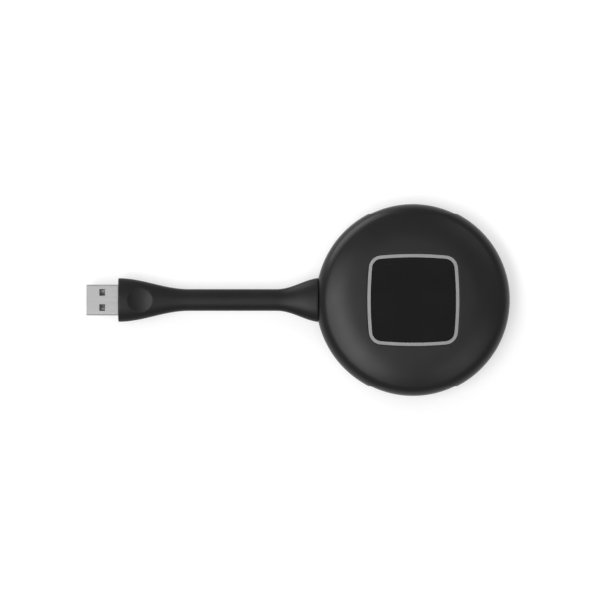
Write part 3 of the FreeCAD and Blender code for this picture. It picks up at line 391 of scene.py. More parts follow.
def join(*pieces, name=None):
    """Joins pieces into the first one, under a new name where asked."""
    only(*pieces)
    if len(pieces) > 1:
        bpy.ops.object.join()
    if name:
        pieces[0].name = pieces[0].data.name = name
    return pieces[0]


def arc(centre, radius, start, end, steps):
    """Points on an arc, angles in degrees."""
    turns = [math.radians(start + (end - start) * step / steps) for step in range(steps + 1)]
    return [(centre[0] + radius * math.cos(turn), centre[1] + radius * math.sin(turn)) for turn in turns]


def outline_arcs(offset):
    """Side arc and corner arc of the outline parallel to the light ring's outer edge."""
    side, corner = RING_SIDE + offset, RING_CORNER + offset
    side_centre = RING_HALF - RING_SIDE
    reach = side - corner
    corner_centre = (side_centre + math.sqrt(2 * reach ** 2 - side_centre ** 2)) / 2
    half_turn = math.atan2(corner_centre, corner_centre - side_centre)
    return side, corner, side_centre, corner_centre, half_turn


def on_outline(point, offset):
    """True for a point on the outline at an offset, seen from above."""
    side, corner, side_centre, corner_centre, half_turn = outline_arcs(offset)
    x, y = max(abs(point.x), abs(point.y)), min(abs(point.x), abs(point.y))
    if math.atan2(y, x - side_centre) < half_turn:
        gap = math.hypot(x - side_centre, y) - side
    else:
        gap = math.hypot(x - corner_centre, y - corner_centre) - corner
    return abs(gap) < OUTLINE_NEAR


def bowed_square(name, offset, height, per_side=24):
    """Closed outline at an offset, as a bezier curve made a mesh."""
    side, corner, side_centre, _, half_turn = outline_arcs(offset)
    corner_turn = math.pi / 2 - 2 * half_turn
    near = side * math.sin(half_turn)
    far = side_centre + side * math.cos(half_turn)
    bpy.ops.object.select_all(action="DESELECT")
    bpy.ops.curve.primitive_bezier_circle_add(radius=RING_HALF)
    bpy.ops.object.mode_set(mode="EDIT")
    bpy.ops.curve.select_all(action="SELECT")
    bpy.ops.curve.subdivide(number_cuts=1)
    bpy.ops.object.mode_set(mode="OBJECT")
    curve = bpy.context.object
    curve.data.resolution_u = per_side
    corners = [(far, -near), (far, near), (near, far), (-near, far),
               (-far, near), (-far, -near), (-near, -far), (near, -far)]
    for index, (point, place) in enumerate(zip(curve.data.splines[0].bezier_points, corners)):
        heading = (index // 2) * math.pi / 2 + math.pi / 2 + (half_turn if index % 2 else -half_turn)
        side_pull = 4 / 3 * math.tan(half_turn / 2) * side
        corner_pull = 4 / 3 * math.tan(corner_turn / 4) * corner
        before, after = (side_pull, corner_pull) if index % 2 else (corner_pull, side_pull)
        point.handle_left_type = point.handle_right_type = "FREE"
        point.co = (*place, 0)
        point.handle_left = (place[0] - before * math.cos(heading), place[1] - before * math.sin(heading), 0)
        point.handle_right = (place[0] + after * math.cos(heading), place[1] + after * math.sin(heading), 0)
    bpy.ops.object.convert(target="MESH")
    bpy.context.object.location.z = height
    return named(name)


def onto_dome(piece, test, proud=0.0):
    """Lifts the vertices that pass the test onto the dome, or onto a surface parallel to it."""
    group = piece.vertex_groups.new(name="domed")
    group.add([vertex.index for vertex in piece.data.vertices if test(vertex.co)], 1.0, "REPLACE")
    bpy.ops.object.empty_add(location=(0, 0, DOME_CENTRE))
    centre = bpy.context.object
    apply(piece, "CAST", cast_type="SPHERE", factor=1.0, use_radius_as_size=True,
          radius=DOME_RADIUS + proud, object=centre, vertex_group="domed")
    bpy.data.objects.remove(centre)
    piece.vertex_groups.clear()


# Materials

class Surface:
    """A procedural material on a Principled shader, read by Object coordinates."""

    def __init__(self, name, colour, roughness, metallic=0.0, level=0.5):
        self.material = bpy.data.materials.new(name)
        self.material.use_nodes = True
        self.nodes = self.material.node_tree.nodes
        self.shader = self.nodes["Principled BSDF"]
        self.colour = (*colour, 1)
        self.shader.inputs["Base Color"].default_value = self.colour
        self.shader.inputs["Roughness"].default_value = roughness
        self.shader.inputs["Metallic"].default_value = metallic
        self.shader.inputs["Specular IOR Level"].default_value = level
        self.place = self.add("ShaderNodeTexCoord").outputs["Object"]

    def add(self, kind, **inputs):
        node = self.nodes.new(kind)
        for key, value in inputs.items():
            node.inputs[key].default_value = value
        return node

    def link(self, source, target):
        self.material.node_tree.links.new(source, target)

    def noise(self, scale, detail=2.0, stretch=None):
        """Noise at a scale in cells a metre, drawn out along an axis where asked."""
        node = self.add("ShaderNodeTexNoise", Scale=scale, Detail=detail)
        place = self.place
        if stretch:
            mapping = self.add("ShaderNodeMapping", Scale=stretch)
            self.link(place, mapping.inputs["Vector"])
            place = mapping.outputs["Vector"]
        self.link(place, node.inputs["Vector"])
        return node.outputs["Fac"]

    def mottle(self, pattern, other, low=0.35, high=0.65):
        """Mixes the colour towards another one by a pattern."""
        ramp = self.add("ShaderNodeValToRGB")
        ramp.color_ramp.elements[0].position = low
        ramp.color_ramp.elements[1].position = high
        ramp.color_ramp.elements[0].color = self.colour
        ramp.color_ramp.elements[1].color = (*other, 1)
        self.link(pattern, ramp.inputs["Fac"])
        self.link(ramp.outputs["Color"], self.shader.inputs["Base Color"])

    def vary_roughness(self, pattern, low, high):
        spread = self.add("ShaderNodeMapRange")
        spread.inputs["To Min"].default_value = low
        spread.inputs["To Max"].default_value = high
        self.link(pattern, spread.inputs["Value"])
        self.link(spread.outputs["Result"], self.shader.inputs["Roughness"])

    def grain(self, pattern, strength, depth):
        bump = self.add("ShaderNodeBump", Strength=strength, Distance=depth)
        self.link(pattern, bump.inputs["Height"])
        self.link(bump.outputs["Normal"], self.shader.inputs["Normal"])


def grey(value):
    return (value, value, value)


def case_plastic():
    """Spark-eroded plastic: fine even grain, with a faint drift in gloss."""
    surface = Surface("case_plastic", grey(0.0055), 0.30, level=0.27)
    surface.mottle(surface.noise(60), grey(0.0055 * 1.25))
    surface.vary_roughness(surface.noise(140, 4), 0.26, 0.35)
    surface.grain(surface.noise(2600, 3), 0.35, 0.012 * MM)
    return surface.material


def arm_rubber():
    """Matt soft moulding with a dusty drift in colour."""
    surface = Surface("arm_rubber", grey(0.0055), 0.36, level=0.25)
    surface.mottle(surface.noise(90, 4), grey(0.007))
    surface.vary_roughness(surface.noise(220, 3), 0.33, 0.40)
    surface.grain(surface.noise(3500, 3), 0.3, 0.01 * MM)
    return surface.material


def foot_rubber():
    surface = Surface("foot_rubber", grey(0.018), 0.8, level=0.2)
    surface.mottle(surface.noise(120, 5), grey(0.026))
    surface.grain(surface.noise(1500, 4), 0.5, 0.03 * MM)
    return surface.material


def button_gloss():
    surface = Surface("button_gloss", grey(0.002), 0.12, level=0.10)
    surface.vary_roughness(surface.noise(300, 4), 0.10, 0.15)
    surface.mottle(surface.noise(80), grey(0.0032))
    return surface.material


def ring_diffuser():
    """Milky light pipe."""
    surface = Surface("ring_diffuser", grey(0.237), 0.45, level=0.4)
    surface.mottle(surface.noise(150, 3), grey(0.255))
    surface.shader.inputs["Subsurface Weight"].default_value = 0.15
    surface.shader.inputs["Subsurface Scale"].default_value = 0.4 * MM
    surface.grain(surface.noise(2500, 2), 0.15, 0.006 * MM)
    return surface.material


def brushed_steel():
    """Nickel-plated plug metal with fine rolling marks along its length."""
    surface = Surface("plug_steel", grey(0.325), 0.46, metallic=1.0)
    surface.mottle(surface.noise(900, 3, (0.08, 1, 1)), grey(0.35), 0.3, 0.7)
    surface.vary_roughness(surface.noise(1600, 4, (0.05, 1, 1)), 0.44, 0.52)
    surface.grain(surface.noise(5000, 3, (0.04, 1, 1)), 0.08, 0.002 * MM)
    return surface.material


def plain_metal(name, colour, rough):
    surface = Surface(name, colour, rough, metallic=1.0)
    surface.mottle(surface.noise(600, 4), tuple(part * 0.88 for part in colour))
    surface.vary_roughness(surface.noise(1200, 3), rough - 0.06, rough + 0.08)
    return surface.material


def plain_plastic(name, colour, rough):
    surface = Surface(name, colour, rough, level=0.4)
    surface.mottle(surface.noise(300, 3), tuple(part * 0.86 for part in colour))
    surface.grain(surface.noise(2200, 2), 0.2, 0.01 * MM)
    return surface.material


def board_laminate():
    """Green solder mask over a faint pattern of copper tracks."""
    surface = Surface("board_laminate", (0.006, 0.045, 0.02), 0.35, level=0.5)
    tracks = surface.add("ShaderNodeTexBrick", Scale=260.0)
    tracks.inputs["Color1"].default_value = (0.006, 0.045, 0.02, 1)
    tracks.inputs["Color2"].default_value = (0.007, 0.055, 0.025, 1)
    tracks.inputs["Mortar"].default_value = (0.012, 0.09, 0.04, 1)
    tracks.inputs["Mortar Size"].default_value = 0.03
    surface.link(surface.place, tracks.inputs["Vector"])
    surface.link(tracks.outputs["Color"], surface.shader.inputs["Base Color"])
    surface.grain(tracks.outputs["Fac"], 0.2, 0.02 * MM)
    return surface.material


MATERIALS = {
    "case_plastic": case_plastic(),
    "button_plastic": button_gloss(),
    "ring_plastic": ring_diffuser(),
    "white_plastic": plain_plastic("white_plastic", (0.62, 0.62, 0.6), 0.5),
    "led_resin": plain_plastic("led_resin", (0.75, 0.68, 0.4), 0.3),
    "foot_rubber": foot_rubber(),
    "arm_rubber": arm_rubber(),
    "cable_jacket": plain_plastic("cable_jacket", grey(0.02), 0.5),
    "wire_copper": plain_metal("wire_copper", (0.8, 0.42, 0.25), 0.3),
    "plug_steel": brushed_steel(),
    "plug_plastic": plain_plastic("plug_plastic", grey(0.155), 0.5),
    "contact_metal": plain_metal("contact_metal", grey(0.20), 0.5),
    "board_laminate": board_laminate(),
    "chip_resin": plain_plastic("chip_resin", grey(0.02), 0.45),
    "ferrite": plain_plastic("ferrite", grey(0.06), 0.6),
    "capacitor_ceramic": plain_plastic("capacitor_ceramic", (0.35, 0.24, 0.15), 0.5),
    "can_steel": plain_metal("can_steel", grey(0.6), 0.35),
    "spring_steel": plain_metal("spring_steel", grey(0.62), 0.25),
    "screw_steel": plain_metal("screw_steel", grey(0.25), 0.35),
    "spreader_aluminium": plain_metal("spreader_aluminium", grey(0.7), 0.4),
    "thermal_silicone": plain_plastic("thermal_silicone", (0.25, 0.3, 0.42), 0.7),
}


def finish_piece(piece, slot, body=None, replaces=()):
    """Gives a piece its material, hides the parts that it replaces and hangs it under the body that it rides
    on.
    """
    piece.data.materials.clear()
    piece.data.materials.append(MATERIALS[slot])
    if replaces:
        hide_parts(*replaces)
    if body:
        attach(piece, body)
    return piece


# Case

def top_arcs():
    """Centres of the haunch and the shoulder, seen in section."""
    share = (DOME_RADIUS - HAUNCH_RADIUS) / DOME_RADIUS
    haunch = (HAUNCH_START * share, DOME_CENTRE + math.sqrt(DOME_RADIUS ** 2 - HAUNCH_START ** 2) * share)
    shoulder_x = CASE_RADIUS - SHOULDER_RADIUS
    rise = math.sqrt((HAUNCH_RADIUS - SHOULDER_RADIUS) ** 2 - (shoulder_x - haunch[0]) ** 2)
    return haunch, (shoulder_x, haunch[1] + rise)


def above_top(point):
    """Height of a point above the top's outer surface, measured square to it."""
    haunch, shoulder = top_arcs()
    radius = point.xy.length
    meet = haunch[0] + (shoulder[0] - haunch[0]) * HAUNCH_RADIUS / (HAUNCH_RADIUS - SHOULDER_RADIUS)
    if point.z < shoulder[1]:
        return radius - CASE_RADIUS
    if radius > meet:
        return math.hypot(radius - shoulder[0], point.z - shoulder[1]) - SHOULDER_RADIUS
    if radius > HAUNCH_START:
        return math.hypot(radius - haunch[0], point.z - haunch[1]) - HAUNCH_RADIUS
    return math.hypot(radius, point.z - DOME_CENTRE) - DOME_RADIUS


def press_reliefs(piece, on_skin):
    """The two shallow finger reliefs: two cuts beside each chord, and the skin beyond them moved inwards.

    The edge at the seam moves level, so that the covers still meet there.
    """
    with editing(piece):
        for side in (1, -1):
            for chord in (RELIEF_CHORD, RELIEF_CHORD + RELIEF_STEP):
                bpy.ops.mesh.select_all(action="SELECT")
                bpy.ops.mesh.bisect(plane_co=(0, side * chord, 0), plane_no=(0, 1, 0), threshold=MERGE)
        inward = (CASE_RADIUS - RELIEF_DEPTH) / CASE_RADIUS
        pick(piece, "VERT", lambda point: abs(point.y) > RELIEF_CHORD + RELIEF_STEP - NEAR
             and on_skin(point) and abs(point.z - SEAM_Z) > NEAR)
        bpy.ops.transform.shrink_fatten(value=-RELIEF_DEPTH)
        pick(piece, "VERT", lambda point: abs(point.y) > RELIEF_CHORD + RELIEF_STEP - NEAR
             and point.xy.length > CASE_RADIUS - RIM_NEAR and abs(point.z - SEAM_Z) < NEAR)
        bpy.ops.transform.resize(value=(inward, inward, 1), center_override=(0, 0, SEAM_Z))


def cut_land(piece):
    """The flat on the arm's side, and the way through the wall there."""
    with editing(piece):
        bpy.ops.mesh.select_all(action="SELECT")
        bpy.ops.mesh.bisect(plane_co=(LAND_X, 0, 0), plane_no=(1, 0, 0), clear_inner=True, use_fill=True,
                            threshold=MERGE)
    way = [(LAND_X - CASE_WALL, *WAY_HALF), (LAND_X + WAY_REACH, *WAY_HALF)]
    cut(piece, chain("way", "X", way, 64, "both"))


def round_seam(piece):
    """Breaks the outer edge where the two covers meet, all round but at the arm."""
    bevel_edges(piece, lambda point: abs(point.z - SEAM_Z) < NEAR and point.xy.length > SEAM_EDGE
                and (point.x > 0 or abs(point.y) > SEAM_ROUND_CLEAR), SEAM_ROUND, 3)


def top_profile(inner):
    """Outer section of the top from the seam up to a radius on the haunch."""
    haunch, shoulder = top_arcs()
    meet = math.degrees(math.atan2(shoulder[1] - haunch[1], shoulder[0] - haunch[0]))
    end = math.degrees(math.acos((inner - haunch[0]) / HAUNCH_RADIUS))
    return [(CASE_RADIUS, SEAM_Z)] + arc(shoulder, SHOULDER_RADIUS, 0, meet, 16) \
        + arc(haunch, HAUNCH_RADIUS, meet, end, 8)[1:]


def top_guide():
    """Fine turned surface of haunch and dome, that the cover's middle is laid on. It doesn't stay."""
    haunch, _ = top_arcs()
    dome_turn = math.degrees(math.acos(HAUNCH_START / DOME_RADIUS))
    profile = arc(haunch, HAUNCH_RADIUS, GUIDE_START, dome_turn, 24)
    profile += arc((0, DOME_CENTRE), DOME_RADIUS, dome_turn, GUIDE_END, 12)[1:]
    return chain("top_guide", "Z", [(z, r, r) for r, z in profile], ROUND_STEPS)


def exit_block(name, low, high):
    """Block round the arm's way, between two heights."""
    return block(name, (EXIT_BLOCK_X[0], -EXIT_BLOCK_HALF[0], low),
                 (EXIT_BLOCK_X[1], EXIT_BLOCK_HALF[0], high))


def inner_fittings_top(cover):
    """Bosses for the case screws, posts of the upper board and the block round the arm's way."""
    fuse(cover, four_uprights("screw_bosses", CASE_POST, (POST_TOP, BOSS_ROOT), CASE_BOSS_RADIUS))
    cut(cover, four_uprights("screw_pilots", CASE_POST, (POST_TOP - PAST, PILOT_TOP), PILOT_RADIUS))
    fuse(cover, four_uprights("board_posts", KEY_BOARD_POST, (KEY_BOARD_Z, BOSS_ROOT), KEY_POST_RADIUS))
    fuse(cover, exit_block("exit_block_top", SEAM_Z, ARM_Z + EXIT_BLOCK_HALF[1]))


def inner_fittings_bottom(cover):
    """Posts for the case screws and the lower board, the cable's saddle and the block round the arm's way."""
    fuse(cover, four_uprights("screw_posts", CASE_POST, (POST_ROOT, POST_TOP), CASE_POST_RADIUS))
    fuse(cover, four_uprights("board_posts", MAIN_BOARD_POST, (POST_ROOT, MAIN_BOARD_Z), MAIN_POST_RADIUS))
    fuse(cover, exit_block("exit_block_bottom", ARM_Z - EXIT_BLOCK_HALF[1], SEAM_Z))
    start, end = SADDLE_X
    fuse(cover, block("cable_saddle", (start, -SADDLE_HALF, POST_ROOT), (end, SADDLE_HALF, ARM_Z)))
    channel = [(start - PAST, CABLE_BORE, CABLE_BORE), (end + PAST, CABLE_BORE, CABLE_BORE)]
    cut(cover, chain("cable_channel", "X", channel, 32, "both"))


def top_cover():
    """Turned shoulder and haunch, bridged to the square opening, with a wall inside and down the opening."""
    profile = top_profile(TURNED_INNER)
    cover = chain("top_cover_shell", "Z", [(z, r, r) for r, z in profile], ROUND_STEPS)
    cover = join(cover, bowed_square("opening", OPENING_CLEAR, profile[-1][1]))
    with editing(cover):
        pick(cover, "EDGE", lambda point: point.xy.length < TURNED_INNER + 10 * NEAR)
        bpy.ops.mesh.bridge_edge_loops(number_cuts=9, interpolation="LINEAR")
    guide = top_guide()
    laid = cover.vertex_groups.new(name="laid")
    middle = [v.index for v in cover.data.vertices if v.co.xy.length < TURNED_INNER - 10 * NEAR]
    laid.add(middle, 1.0, "REPLACE")
    apply(cover, "SHRINKWRAP", target=guide, wrap_method="PROJECT", use_project_z=True,
          use_positive_direction=True, use_negative_direction=True, vertex_group="laid")
    cover.vertex_groups.clear()
    bpy.data.objects.remove(guide)
    with editing(cover):
        pick(cover, "EDGE", lambda point: on_outline(point, OPENING_CLEAR))
        bpy.ops.mesh.extrude_region_move(TRANSFORM_OT_translate={"value": (0, 0, 0)})
        bpy.ops.transform.resize(value=(1, 1, 0), center_override=(0, 0, RING_SEAT_Z))
        face_outwards()
    apply(cover, "SOLIDIFY", thickness=CASE_WALL, offset=-1.0, use_even_offset=True)
    skin = 0.8 * MM
    press_reliefs(cover, lambda point: above_top(point) > -skin)
    inner_fittings_top(cover)
    cut_land(cover)
    round_seam(cover)
    bevel_edges(cover, lambda point: on_outline(point, OPENING_CLEAR) and point.z > OPENING_EDGE_Z,
                EDGE_ROUND, 3)
    weld(cover)
    smooth(cover)
    return finish_piece(cover, "case_plastic", "housing", ["top_cover"])


def bottom_cover():
    """Turned cup with its lip, its recess for the foot and its round outer edge."""
    base_x = CASE_RADIUS - BASE_ROUND
    base_centre = (base_x, BASE_Z + BASE_ROUND)
    recess = foot_high.x + FOOT_CLEAR
    rows = (8 * MM, 16 * MM, 24 * MM)
    profile = [(radius, foot_high.z) for radius in rows]
    profile += [(recess, foot_high.z), (recess, BASE_Z)]
    profile += arc(base_centre, BASE_ROUND, -90, 0, 16)
    profile += [(CASE_RADIUS, SEAM_Z), (LIP[1], SEAM_Z), (LIP[1], SEAM_Z + LIP_HEIGHT),
                (LIP[0], SEAM_Z + LIP_HEIGHT)]
    inner_round = BASE_ROUND - CASE_WALL
    lip_turn = -math.degrees(math.acos((LIP[0] - base_x) / inner_round))
    profile += arc(base_centre, inner_round, lip_turn, -90, 8)
    profile += [(radius, FLOOR_Z) for radius in reversed(rows)]
    cover = chain("bottom_cover_shell", "Z", [(z, r, r) for r, z in profile], ROUND_STEPS, "both")
    skin = 0.5 * MM
    press_reliefs(cover, lambda point: point.z < SEAM_Z + NEAR
                  and (point.xy.length > CASE_RADIUS - skin
                       or math.dist((point.xy.length, point.z), base_centre) > BASE_ROUND - skin))
    inner_fittings_bottom(cover)
    cut_land(cover)
    round_seam(cover)
    smooth(cover)
    return finish_piece(cover, "case_plastic", "housing", ["bottom_cover"])


def foot_pad():
    """Rubber disc with a moulded rim and a shallow ring groove in its underside."""
    radius, top = foot_high.x, foot_high.z
    outer, inner = GROOVE_HALF
    profile = [(4 * MM, 0), (14 * MM, 0), (GROOVE_MIDDLE - outer, 0), (GROOVE_MIDDLE - inner, GROOVE_DEPTH),
               (GROOVE_MIDDLE + inner, GROOVE_DEPTH), (GROOVE_MIDDLE + outer, 0)]
    profile += arc((radius - FOOT_RIM, FOOT_RIM), FOOT_RIM, -90, 0, 5)
    profile += [(radius, top), (20 * MM, top), (8 * MM, top)]
    pad = chain("foot_pad_disc", "Z", [(z, r, r) for r, z in profile], 128, "both")
    smooth(pad)
    return finish_piece(pad, "foot_rubber", "housing", ["foot_pad"])


# Light ring and button

def framed(name, section):
    """A closed frame of bowed squares through (offset, height) points."""
    loops = [bowed_square(f"{name}_{index}", *point) for index, point in enumerate(section)]
    size = len(loops[0].data.vertices)
    piece = join(*loops, name=name)
    with editing(piece):
        for index in range(len(section)):
            pair = {index, (index + 1) % len(section)}
            bpy.ops.mesh.select_mode(type="EDGE")
            bpy.ops.mesh.select_all(action="DESELECT")
            mesh = bmesh.from_edit_mesh(piece.data)
            for edge in mesh.edges:
                rows = {vertex.index // size for vertex in edge.verts}
                edge.select = len(rows) == 1 and rows <= pair
            bmesh.update_edit_mesh(piece.data)
            bpy.ops.mesh.bridge_edge_loops()
        face_outwards()
    return piece


def light_ring():
    """Light pipe: a square frame with a flange below its seat in the cover and a domed top."""
    width, thick = RING_FLANGE
    top = RING_EDGE_Z
    ring = framed("light_ring", [
        (-RING_WIDTH, guide_low.z), (-RING_WIDTH, top), (0, top), (0, RING_SEAT_Z),
        (width, RING_SEAT_Z), (width, RING_SEAT_Z - thick), (0, RING_SEAT_Z - thick), (0, guide_low.z)])
    onto_dome(ring, lambda point: point.z > top - NEAR, RING_PROUD)
    for offset in (0, -RING_WIDTH):
        bevel_edges(ring, lambda point: point.z > top and on_outline(point, offset), EDGE_ROUND, 3)
    smooth(ring)
    return finish_piece(ring, "ring_plastic", "housing", ["light_guide"])


def button():
    """Square cap: a side wall, a rim and a top that follows the dome."""
    top = CAP_EDGE_Z
    cap = bowed_square("button_cap", -RING_WIDTH - BUTTON_GAP, lens_low.z)
    shares = (1.0, 0.85, 0.65, 0.45, 0.25, 0.08)
    with editing(cap):
        bpy.ops.mesh.select_mode(type="EDGE")
        bpy.ops.mesh.select_all(action="SELECT")
        bpy.ops.mesh.extrude_region_move(TRANSFORM_OT_translate={"value": (0, 0, top - lens_low.z)})
        for before, after in zip(shares, shares[1:]):
            bpy.ops.mesh.extrude_region_move(TRANSFORM_OT_translate={"value": (0, 0, 0)})
            bpy.ops.transform.resize(value=(after / before, after / before, 1), center_override=(0, 0, top))
        bpy.ops.mesh.edge_face_add()
        bpy.ops.mesh.poke()
        pick(cap, "EDGE", lambda point: point.z < lens_low.z + NEAR)
        bpy.ops.mesh.edge_face_add()
        face_outwards()
    onto_dome(cap, lambda point: point.z > top - NEAR, -BUTTON_RECESS)
    bevel_edges(cap, lambda point: point.z > top and on_outline(point, -RING_WIDTH - BUTTON_GAP),
                BUTTON_ROUND, 4)
    smooth(cap)
    return finish_piece(cap, "button_plastic", "button", ["button_lens"])


def snap_dome():
    """Thin domed spring disc inside the switch, built domed as at rest; the button's stem flattens it when
    pressed.
    """
    rise, radius = snap_high.z - snap_low.z, snap_high.x
    outer = (radius ** 2 + rise ** 2) / (2 * rise)
    inner = outer - SNAP_THICK
    centre = (0, snap_high.z - outer)
    tip = 0.2 * MM
    top_turns = (math.acos(tip / outer), math.acos(radius / outer))
    under_turns = (math.asin((snap_low.z - centre[1]) / inner), math.acos(tip / inner))
    profile = arc(centre, outer, *map(math.degrees, top_turns), 8)
    profile += arc(centre, inner, *map(math.degrees, under_turns), 8)
    disc = chain("snap_disc", "Z", [(z, r, r) for r, z in profile], 48, "both")
    smooth(disc)
    finish_piece(disc, "spring_steel", "housing", ["switch_dome"])
    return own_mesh(disc)


# Arm

def flared(x, axis):
    """Half width (axis 0) or half height (axis 1) of the arm at x."""
    share = 0.0
    full = COLLAR_SIZE
    if x > ROOT_FLARE[0] - ROOT_FLARE[1]:
        share = 1 - (ROOT_FLARE[0] - x) / ROOT_FLARE[1]
    elif x < TIP_FLARE[0] + TIP_FLARE[1]:
        share = 1 - (x - TIP_FLARE[0]) / TIP_FLARE[1]
        full = GRIP_SIZE
    grow = (1 - math.cos(math.pi * share)) / 2
    return NECK_SIZE[axis] + (full[axis] - NECK_SIZE[axis]) * grow


def arm_station(x, inset=0.0, place=None):
    """Section of the arm at x, drawn in by an inset and set at another place where asked."""
    return (x if place is None else place, flared(x, 0) - inset, flared(x, 1) - inset)


def spread(start, end, steps):
    return [start + (end - start) * step / steps for step in range(steps + 1)]


def rounded_end(x, direction, radius, steps=4):
    """Stations that round the arm's end at x, from the full section to the end face."""
    turns = [math.pi / 2 * step / steps for step in range(steps + 1)]
    return [arm_station(x, radius * (1 - math.cos(turn)), x - direction * radius * (1 - math.sin(turn)))
            for turn in turns]


def bend_at(piece, root_body, tip_body, x):
    """Puts the piece's place into its mesh."""
    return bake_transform(piece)


def arm_root():
    """Root half of the arm: flange inside the case, way through the wall, collar and half the neck."""
    inside = relief_high.x
    bore = (CABLE_BORE, CABLE_BORE)
    stations = [(x, *bore) for x in spread(inside, NECK_MIDDLE, 30)]
    stations += [arm_station(x) for x in spread(NECK_MIDDLE, LAND_X - ROOT_ROUND, 44)]
    stations += rounded_end(LAND_X, 1, ROOT_ROUND)[1:]
    shelf = inside - FLANGE_THICK
    stations += [(LAND_X, *THROUGH_WALL), (shelf, *THROUGH_WALL), (shelf, *INNER_FLANGE),
                 (inside, *INNER_FLANGE), (inside, *bore)]
    root = chain("arm_root", "X", stations, ARM_STEPS, "meet")
    smooth(root)
    finish_piece(root, "arm_rubber", None, ["strain_relief", "flex_neck"])
    return bend_at(root, "housing", "neck", ROOT_BEND)


def arm_tip():
    """Tip half of the arm: half the neck and the grip with its thumb dimple, moulded round the plug."""
    deep = core_high.x
    face = grip_low.x
    bore = (CABLE_BORE, CABLE_BORE)
    stations = [(x, *bore) for x in spread(deep, NECK_MIDDLE, 24)]
    stations += [arm_station(x) for x in spread(NECK_MIDDLE, DENSE_X[0], 40)]
    stations += [arm_station(x) for x in spread(*DENSE_X, 46)[1:]]
    stations += [arm_station(x) for x in spread(DENSE_X[1], face + GRIP_ROUND, 6)[1:]]
    stations += rounded_end(face, -1, GRIP_ROUND)[1:]
    tip = chain("arm_tip", "X", stations, ARM_STEPS, "both")
    with editing(tip):
        crest = min((v.co for v in tip.data.vertices if v.co.z > ARM_Z + CABLE_BORE * 1.05),
                    key=lambda co: (co.x - DIMPLE_X) ** 2 + co.y ** 2).copy()
        pick(tip, "VERT", lambda point: (point - crest).length < NEAR)
        bpy.ops.transform.translate(value=(-DIMPLE_LEAN, 0, -DIMPLE_DEPTH), use_proportional_edit=True,
                                    proportional_edit_falloff="INVERSE_SQUARE",
                                    proportional_size=DIMPLE_RADIUS)
    plug = rounded_bar("plug_space", (face - PAST, shell_low.y - GRIP_GAP, shell_low.z - GRIP_GAP),
                       (shell_high.x, shell_high.y + GRIP_GAP, shell_high.z + GRIP_GAP),
                       SHELL_CORNER + GRIP_GAP)
    cut(tip, plug)
    core = rounded_bar("core_space", (shell_high.x - SPACE_OVERLAP, core_low.y, core_low.z),
                       (deep, core_high.y, core_high.z), CORE_CORNER)
    cut(tip, core)
    smooth(tip)
    finish_piece(tip, "arm_rubber", None, ["plug_grip", "flex_neck"])
    return bend_at(tip, "neck", "plug", TIP_BEND)


def cable_half(name, slot, radius, wall, x, offsets, bodies, bend, replaced):
    """One half of what runs through the arm, from x[0] to x[1]."""
    strands = []
    for index, (dy, dz) in enumerate(offsets):
        stations = [(place, radius, radius) for place in spread(x[0], x[1], 30)]
        if wall:
            stations += [(place, radius - wall, radius - wall) for place in spread(x[1], x[0], 30)]
            stations.append(stations[0])
        strand = chain(f"{name}_{index}", "X", stations, 16, "meet" if wall else "both")
        with editing(strand):
            bpy.ops.mesh.select_all(action="SELECT")
            bpy.ops.transform.translate(value=(0, dy, dz))
        strands.append(strand)
    piece = join(*strands, name=name)
    smooth(piece)
    finish_piece(piece, slot, None, [replaced])
    return bend_at(piece, *bodies, bend)


def cable():
    """Jacket and wires inside the arm, in two halves as the arm is."""
    four = [(sign_y * WIRE_OFFSET, sign_z * WIRE_OFFSET) for sign_y in (1, -1) for sign_z in (1, -1)]
    for part, slot, low, high, radius, wall, offsets in (
            ("arm_cable", "cable_jacket", cable_low, cable_high, JACKET_RADIUS, JACKET_WALL, [(0, 0)]),
            ("arm_wires", "wire_copper", wires_low, wires_high, WIRE_RADIUS, 0, four)):
        cable_half(part + "_root", slot, radius, wall, (high.x, NECK_MIDDLE), offsets,
                   ("housing", "neck"), ROOT_BEND, part)
        cable_half(part + "_tip", slot, radius, wall, (NECK_MIDDLE, low.x), offsets,
                   ("neck", "plug"), TIP_BEND, part)


# Plug

def plug_shell():
    """Folded metal shell: round long edges, two windows through both broad sides, a seam underneath."""
    shell = rounded_bar("plug_metal", shell_low, shell_high, SHELL_CORNER)
    with editing(shell):
        pick(shell, "FACE", lambda point: min(abs(point.x - shell_low.x), abs(point.x - shell_high.x)) < NEAR)
        bpy.ops.mesh.delete(type="FACE")
    apply(shell, "SOLIDIFY", thickness=SHELL_WALL, offset=-1.0, use_even_offset=True)
    start = shell_low.x + WINDOW_START
    for middle in (WINDOW_MIDDLE, -WINDOW_MIDDLE):
        window = block("window", (start, middle - WINDOW_HALF, shell_low.z - PAST),
                       (start + WINDOW_LENGTH, middle + WINDOW_HALF, shell_high.z + PAST))
        cut(shell, window)
    half_gap, depth = SHELL_SEAM
    seam = block("seam", (shell_low.x - PAST, -half_gap, shell_low.z - PAST),
                 (shell_high.x + PAST, half_gap, shell_low.z + depth))
    cut(shell, seam)
    apply(shell, "BEVEL", width=SHELL_EDGE, segments=2, limit_method="ANGLE",
          angle_limit=math.radians(SHELL_FOLD))
    smooth(shell, SHELL_FOLD)
    apply(shell, "WEIGHTED_NORMAL", weight=100, keep_sharp=True)
    return finish_piece(shell, "plug_steel", "plug", ["plug_shell"])


def contacts():
    """Four plated strips on the tongue, their upper edges rounded."""
    strips = []
    for middle, start in CONTACTS:
        strip = block("strip", (shell_low.x + start, middle - CONTACT_HALF, contact_low.z),
                      (contact_high.x, middle + CONTACT_HALF, contact_high.z))
        bevel_edges(strip, lambda point: point.z > contact_high.z - NEAR, CONTACT_ROUND, 3)
        strips.append(strip)
    piece = join(*strips, name="contact_strips")
    smooth(piece)
    return finish_piece(piece, "contact_metal", "plug", ["plug_contacts"])


# What stays as it is in the frame, with a finish of its own

